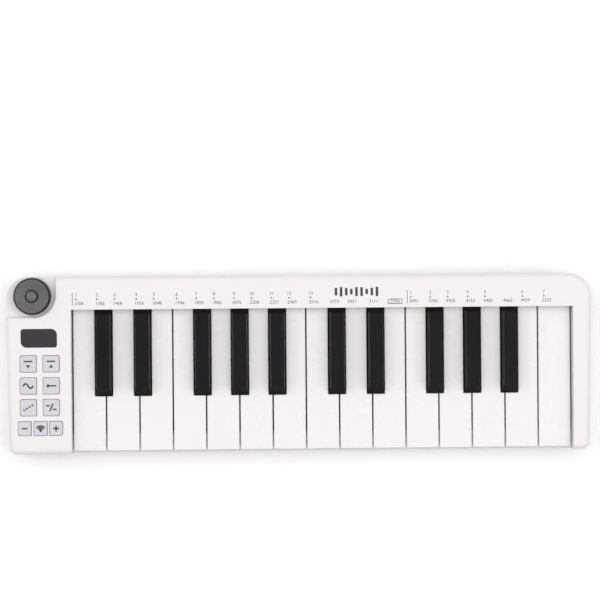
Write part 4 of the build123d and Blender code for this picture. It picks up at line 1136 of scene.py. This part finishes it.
@dataclass
class RotaryKnob:
    """The grooved knob, its shaft and the encoder below it."""

    nodes: dict
    ribs: int = 60
    steps: int = 180
    rib_width: float = 0.62 * MM
    rib_depth: float = 0.5 * MM
    chamfer: float = 0.7 * MM
    dark_rim: float = 0.55 * MM
    dish: float = 0.25 * MM
    nub_radius: float = 3.0 * MM
    nub_height: float = 0.8 * MM
    moat: float = 0.5 * MM
    moat_depth: float = 1.3 * MM
    skirt: float = 1.4 * MM

    def build(self) -> None:
        """Make the knob's body and ribs in place of the plain CAD knob."""
        low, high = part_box("knob")
        centre = Vector(((low.x + high.x) / 2, (low.y + high.y) / 2, 0))
        radius = (high.x - low.x) / 2
        rim = high.z - self.nub_height
        core = radius - self.rib_depth * 0.6
        c = self.chamfer
        profile = [
            (0, low.z + 4 * MM),
            (core - self.skirt, low.z + 4 * MM),
            (core - self.skirt, low.z),
            (core - 0.2 * MM, low.z),
            (core, low.z + 0.2 * MM),
            (core, rim - c),
            (core - 0.25 * c, rim - 0.35 * c),
            (core - c, rim),
            (core - c - 0.35 * MM, rim),
            (core - c - 0.6 * MM, rim - self.dish),
            (self.nub_radius + self.moat + 0.1 * MM, rim - self.dish),
            (self.nub_radius + self.moat, rim - self.dish - 0.1 * MM),
            (self.nub_radius + self.moat, rim - self.moat_depth),
            (self.nub_radius, rim - self.moat_depth),
            (self.nub_radius - 0.1 * MM, high.z - 0.35 * MM),
            (self.nub_radius - 0.5 * MM, high.z - 0.05 * MM),
            (0, high.z),
        ]
        shape = bmesh.new()
        add_lathe(shape, profile, centre, self.steps)
        body = new_piece("knob_body", mesh_from("knob_body", shape, 50.0))
        dress(body, KNOB_GREY)
        # Second material: a dark band on the outer rim, and painted shade on the moat's walls and
        # floor round the nub.
        body.data.materials.append(KNOB_DARK_RIM_AND_MOAT_SHADE.material())
        for face in body.data.polygons:
            reach = (face.center - centre).xy.length
            painted_moat_shade = abs(reach - self.nub_radius - self.moat / 2) < self.moat / 2 + 0.1 * MM
            face.material_index = int(reach > core - self.dark_rim or painted_moat_shade)
        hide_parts("knob")
        settle(body, "knob_turner")
        settle(self._ribs(centre, radius, low.z, rim), "knob_turner")
        dress(self.nodes["encoder_shaft"], GROUND_STEEL)
        dress(self.nodes["encoder_plunger"], MODULE_BLACK)
        dress(self.nodes["encoder_body"], PLATED_STEEL)

    def _ribs(self, centre: Vector, radius: float, low: float, rim: float) -> bpy.types.Object:
        """Make the ring of upright ribs.

        Args:
            centre: the knob's axis, at height 0.
            radius: the knob's outer radius.
            low: height of the knob's lower edge.
            rim: height of the knob's rim.

        Returns:
            The ribs as one piece.
        """
        height = rim - self.chamfer * 0.8 - low - 0.3 * MM
        marks = []
        for k in range(self.ribs):
            angle = 2 * math.pi * k / self.ribs
            spoke = Vector((math.cos(angle), math.sin(angle), 0))
            place = centre + spoke * (radius - self.rib_depth / 2)
            place.z = low + 0.3 * MM + height / 2
            marks.append(Mark(place, (self.rib_depth, self.rib_width, height), (0, 0, angle)))
        return repeat_marks("knob_ribs", marks, MarkShape.RIB, KNOB_SIDE)


@dataclass
class RearSocket:
    """The rear socket, its contacts and its light."""

    nodes: dict
    contacts: int = 12
    contact_pitch: float = 0.5 * MM
    contact_size: tuple[float, float, float] = (0.26 * MM, 4.2 * MM, 0.04 * MM)
    tongue_half: float = 0.35 * MM

    def build(self) -> None:
        """Dress the socket and lay its gold contacts on the tongue."""
        dress(self.nodes["usb_socket"], PLATED_STEEL)
        dress(self.nodes["charge_light"], LIGHT_PIPE)
        low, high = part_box("usb_socket")
        middle = (low + high) / 2
        marks = []
        for k in range(self.contacts):
            x = middle.x + (k - (self.contacts - 1) / 2) * self.contact_pitch
            for side in (-1, 1):
                place = Vector((x, high.y - 3.3 * MM, middle.z + side * self.tongue_half))
                marks.append(Mark(place, self.contact_size))
        contacts = repeat_marks("socket_contacts", marks, MarkShape.BLOCK, GOLD_PLATE)
        settle(contacts, "case")


@dataclass
class Works:
    """Boards, battery, switch and the small parts on the main board."""

    nodes: dict
    chip_rows: int = 3
    chip_columns: int = 2
    chip_size: tuple[float, float, float] = (2.2 * MM, 1.4 * MM, 0.8 * MM)
    chip_corner: tuple[float, float] = (14 * MM, 21 * MM)
    chip_pitch: tuple[float, float] = (3.2 * MM, 2.4 * MM)

    def build(self) -> None:
        """Dress what is inside, and place chips on the main board."""
        for name, finish in (
            ("main_board", BOARD_GREEN),
            ("wireless_module", PLATED_STEEL),
            ("battery_pack", POUCH_SILVER),
            ("ribbon_cable", RIBBON_WHITE),
            ("board_screws", SCREW_DARK),
            ("power_switch_body", PLATED_STEEL),
            ("power_slider", SLIDER_GREY),
        ):
            dress(self.nodes[name], finish)
        low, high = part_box("main_board")
        marks = []
        for row in range(self.chip_rows):
            for column in range(self.chip_columns):
                x = low.x + self.chip_corner[0] + self.chip_pitch[0] * column
                y = low.y + self.chip_corner[1] + self.chip_pitch[1] * row
                place = Vector((x, y, high.z + self.chip_size[2] / 2))
                marks.append(Mark(place, self.chip_size))
        chips = repeat_marks("board_chips", marks, MarkShape.BLOCK, CHIP_BLACK)
        settle(chips, "case")


@dataclass
class Studio:
    """The floor, the light and the camera."""

    camera_height: float = 1.1
    camera_x: float = -0.034
    camera_y: float = 0.0351
    aim_x: float = 0.0
    lens: float = 119.6
    roll: float = math.radians(-0.45)
    floor_size: float = 6.0
    sky_strength: float = 0.38

    def build(self) -> None:
        """Set up everything that isn't the object."""
        self._floor()
        self._lights()
        self._camera()

    def _floor(self) -> None:
        """Lay a plain pale floor under the object."""
        half = self.floor_size / 2
        mesh = bpy.data.meshes.new("floor")
        corners = [(-half, -half, 0), (half, -half, 0), (half, half, 0), (-half, half, 0)]
        mesh.from_pydata(corners, [], [(0, 1, 2, 3)])
        floor = new_piece("floor", mesh)
        dress(floor, FLOOR_WHITE)

    def _lights(self) -> None:
        """Hang soft lamps, and fill the rest with a pale sky."""
        for name, place, size, power in (
            ("key_light", (0.95, 0.0, 1.3), 1.1, 6.0),
            ("top_light", (-0.05, 0.15, 1.7), 1.8, 17.5),
            ("fill_light", (-1.1, 0.3, 0.9), 1.2, 4.4),
        ):
            lamp = bpy.data.lights.new(name, "AREA")
            lamp.shape = "SQUARE"
            lamp.size = size
            lamp.energy = power
            holder = bpy.data.objects.new(name, lamp)
            bpy.context.scene.collection.objects.link(holder)
            holder.location = place
            holder.rotation_euler = (-Vector(place)).to_track_quat("-Z", "Y").to_euler()
        world = bpy.data.worlds.new("studio_air")
        world.use_nodes = True
        sky = world.node_tree.nodes["Background"].inputs
        sky["Color"].default_value = (1.0, 1.0, 1.0, 1.0)
        sky["Strength"].default_value = self.sky_strength
        bpy.context.scene.world = world
        bpy.context.scene.view_settings.view_transform = "Standard"

    def _camera(self) -> None:
        """Place the camera above the object, looking down at it."""
        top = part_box("top_case")[1].z
        lens = bpy.data.cameras.new("camera")
        lens.lens = self.lens
        lens.sensor_width = 36.0
        lens.clip_end = 20.0
        camera = bpy.data.objects.new("camera", lens)
        bpy.context.scene.collection.objects.link(camera)
        camera.location = (self.camera_x, self.camera_y, top + self.camera_height)
        yaw = math.atan2(self.aim_x - self.camera_x, self.camera_height)
        look = Matrix.Rotation(-yaw, 4, "Y") @ Matrix.Rotation(self.roll, 4, "Z")
        camera.rotation_euler = look.to_euler()
        bpy.context.scene.camera = camera


def main() -> None:
    """Load the frame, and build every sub-assembly in order."""
    logging.basicConfig(level=logging.INFO, format="%(name)s: %(message)s")
    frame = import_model()
    for group in (tone_drift_group, moulded_grain_group, dust_group):
        group()
    nodes = frame["nodes"]
    Studio().build()
    for assembly in (Casing, KeyBed, ControlPanel, RotaryKnob, RearSocket, Works):
        assembly(nodes).build()
        log.info("%s is finished", assembly.__name__)


if __name__ == "__main__":
    main()
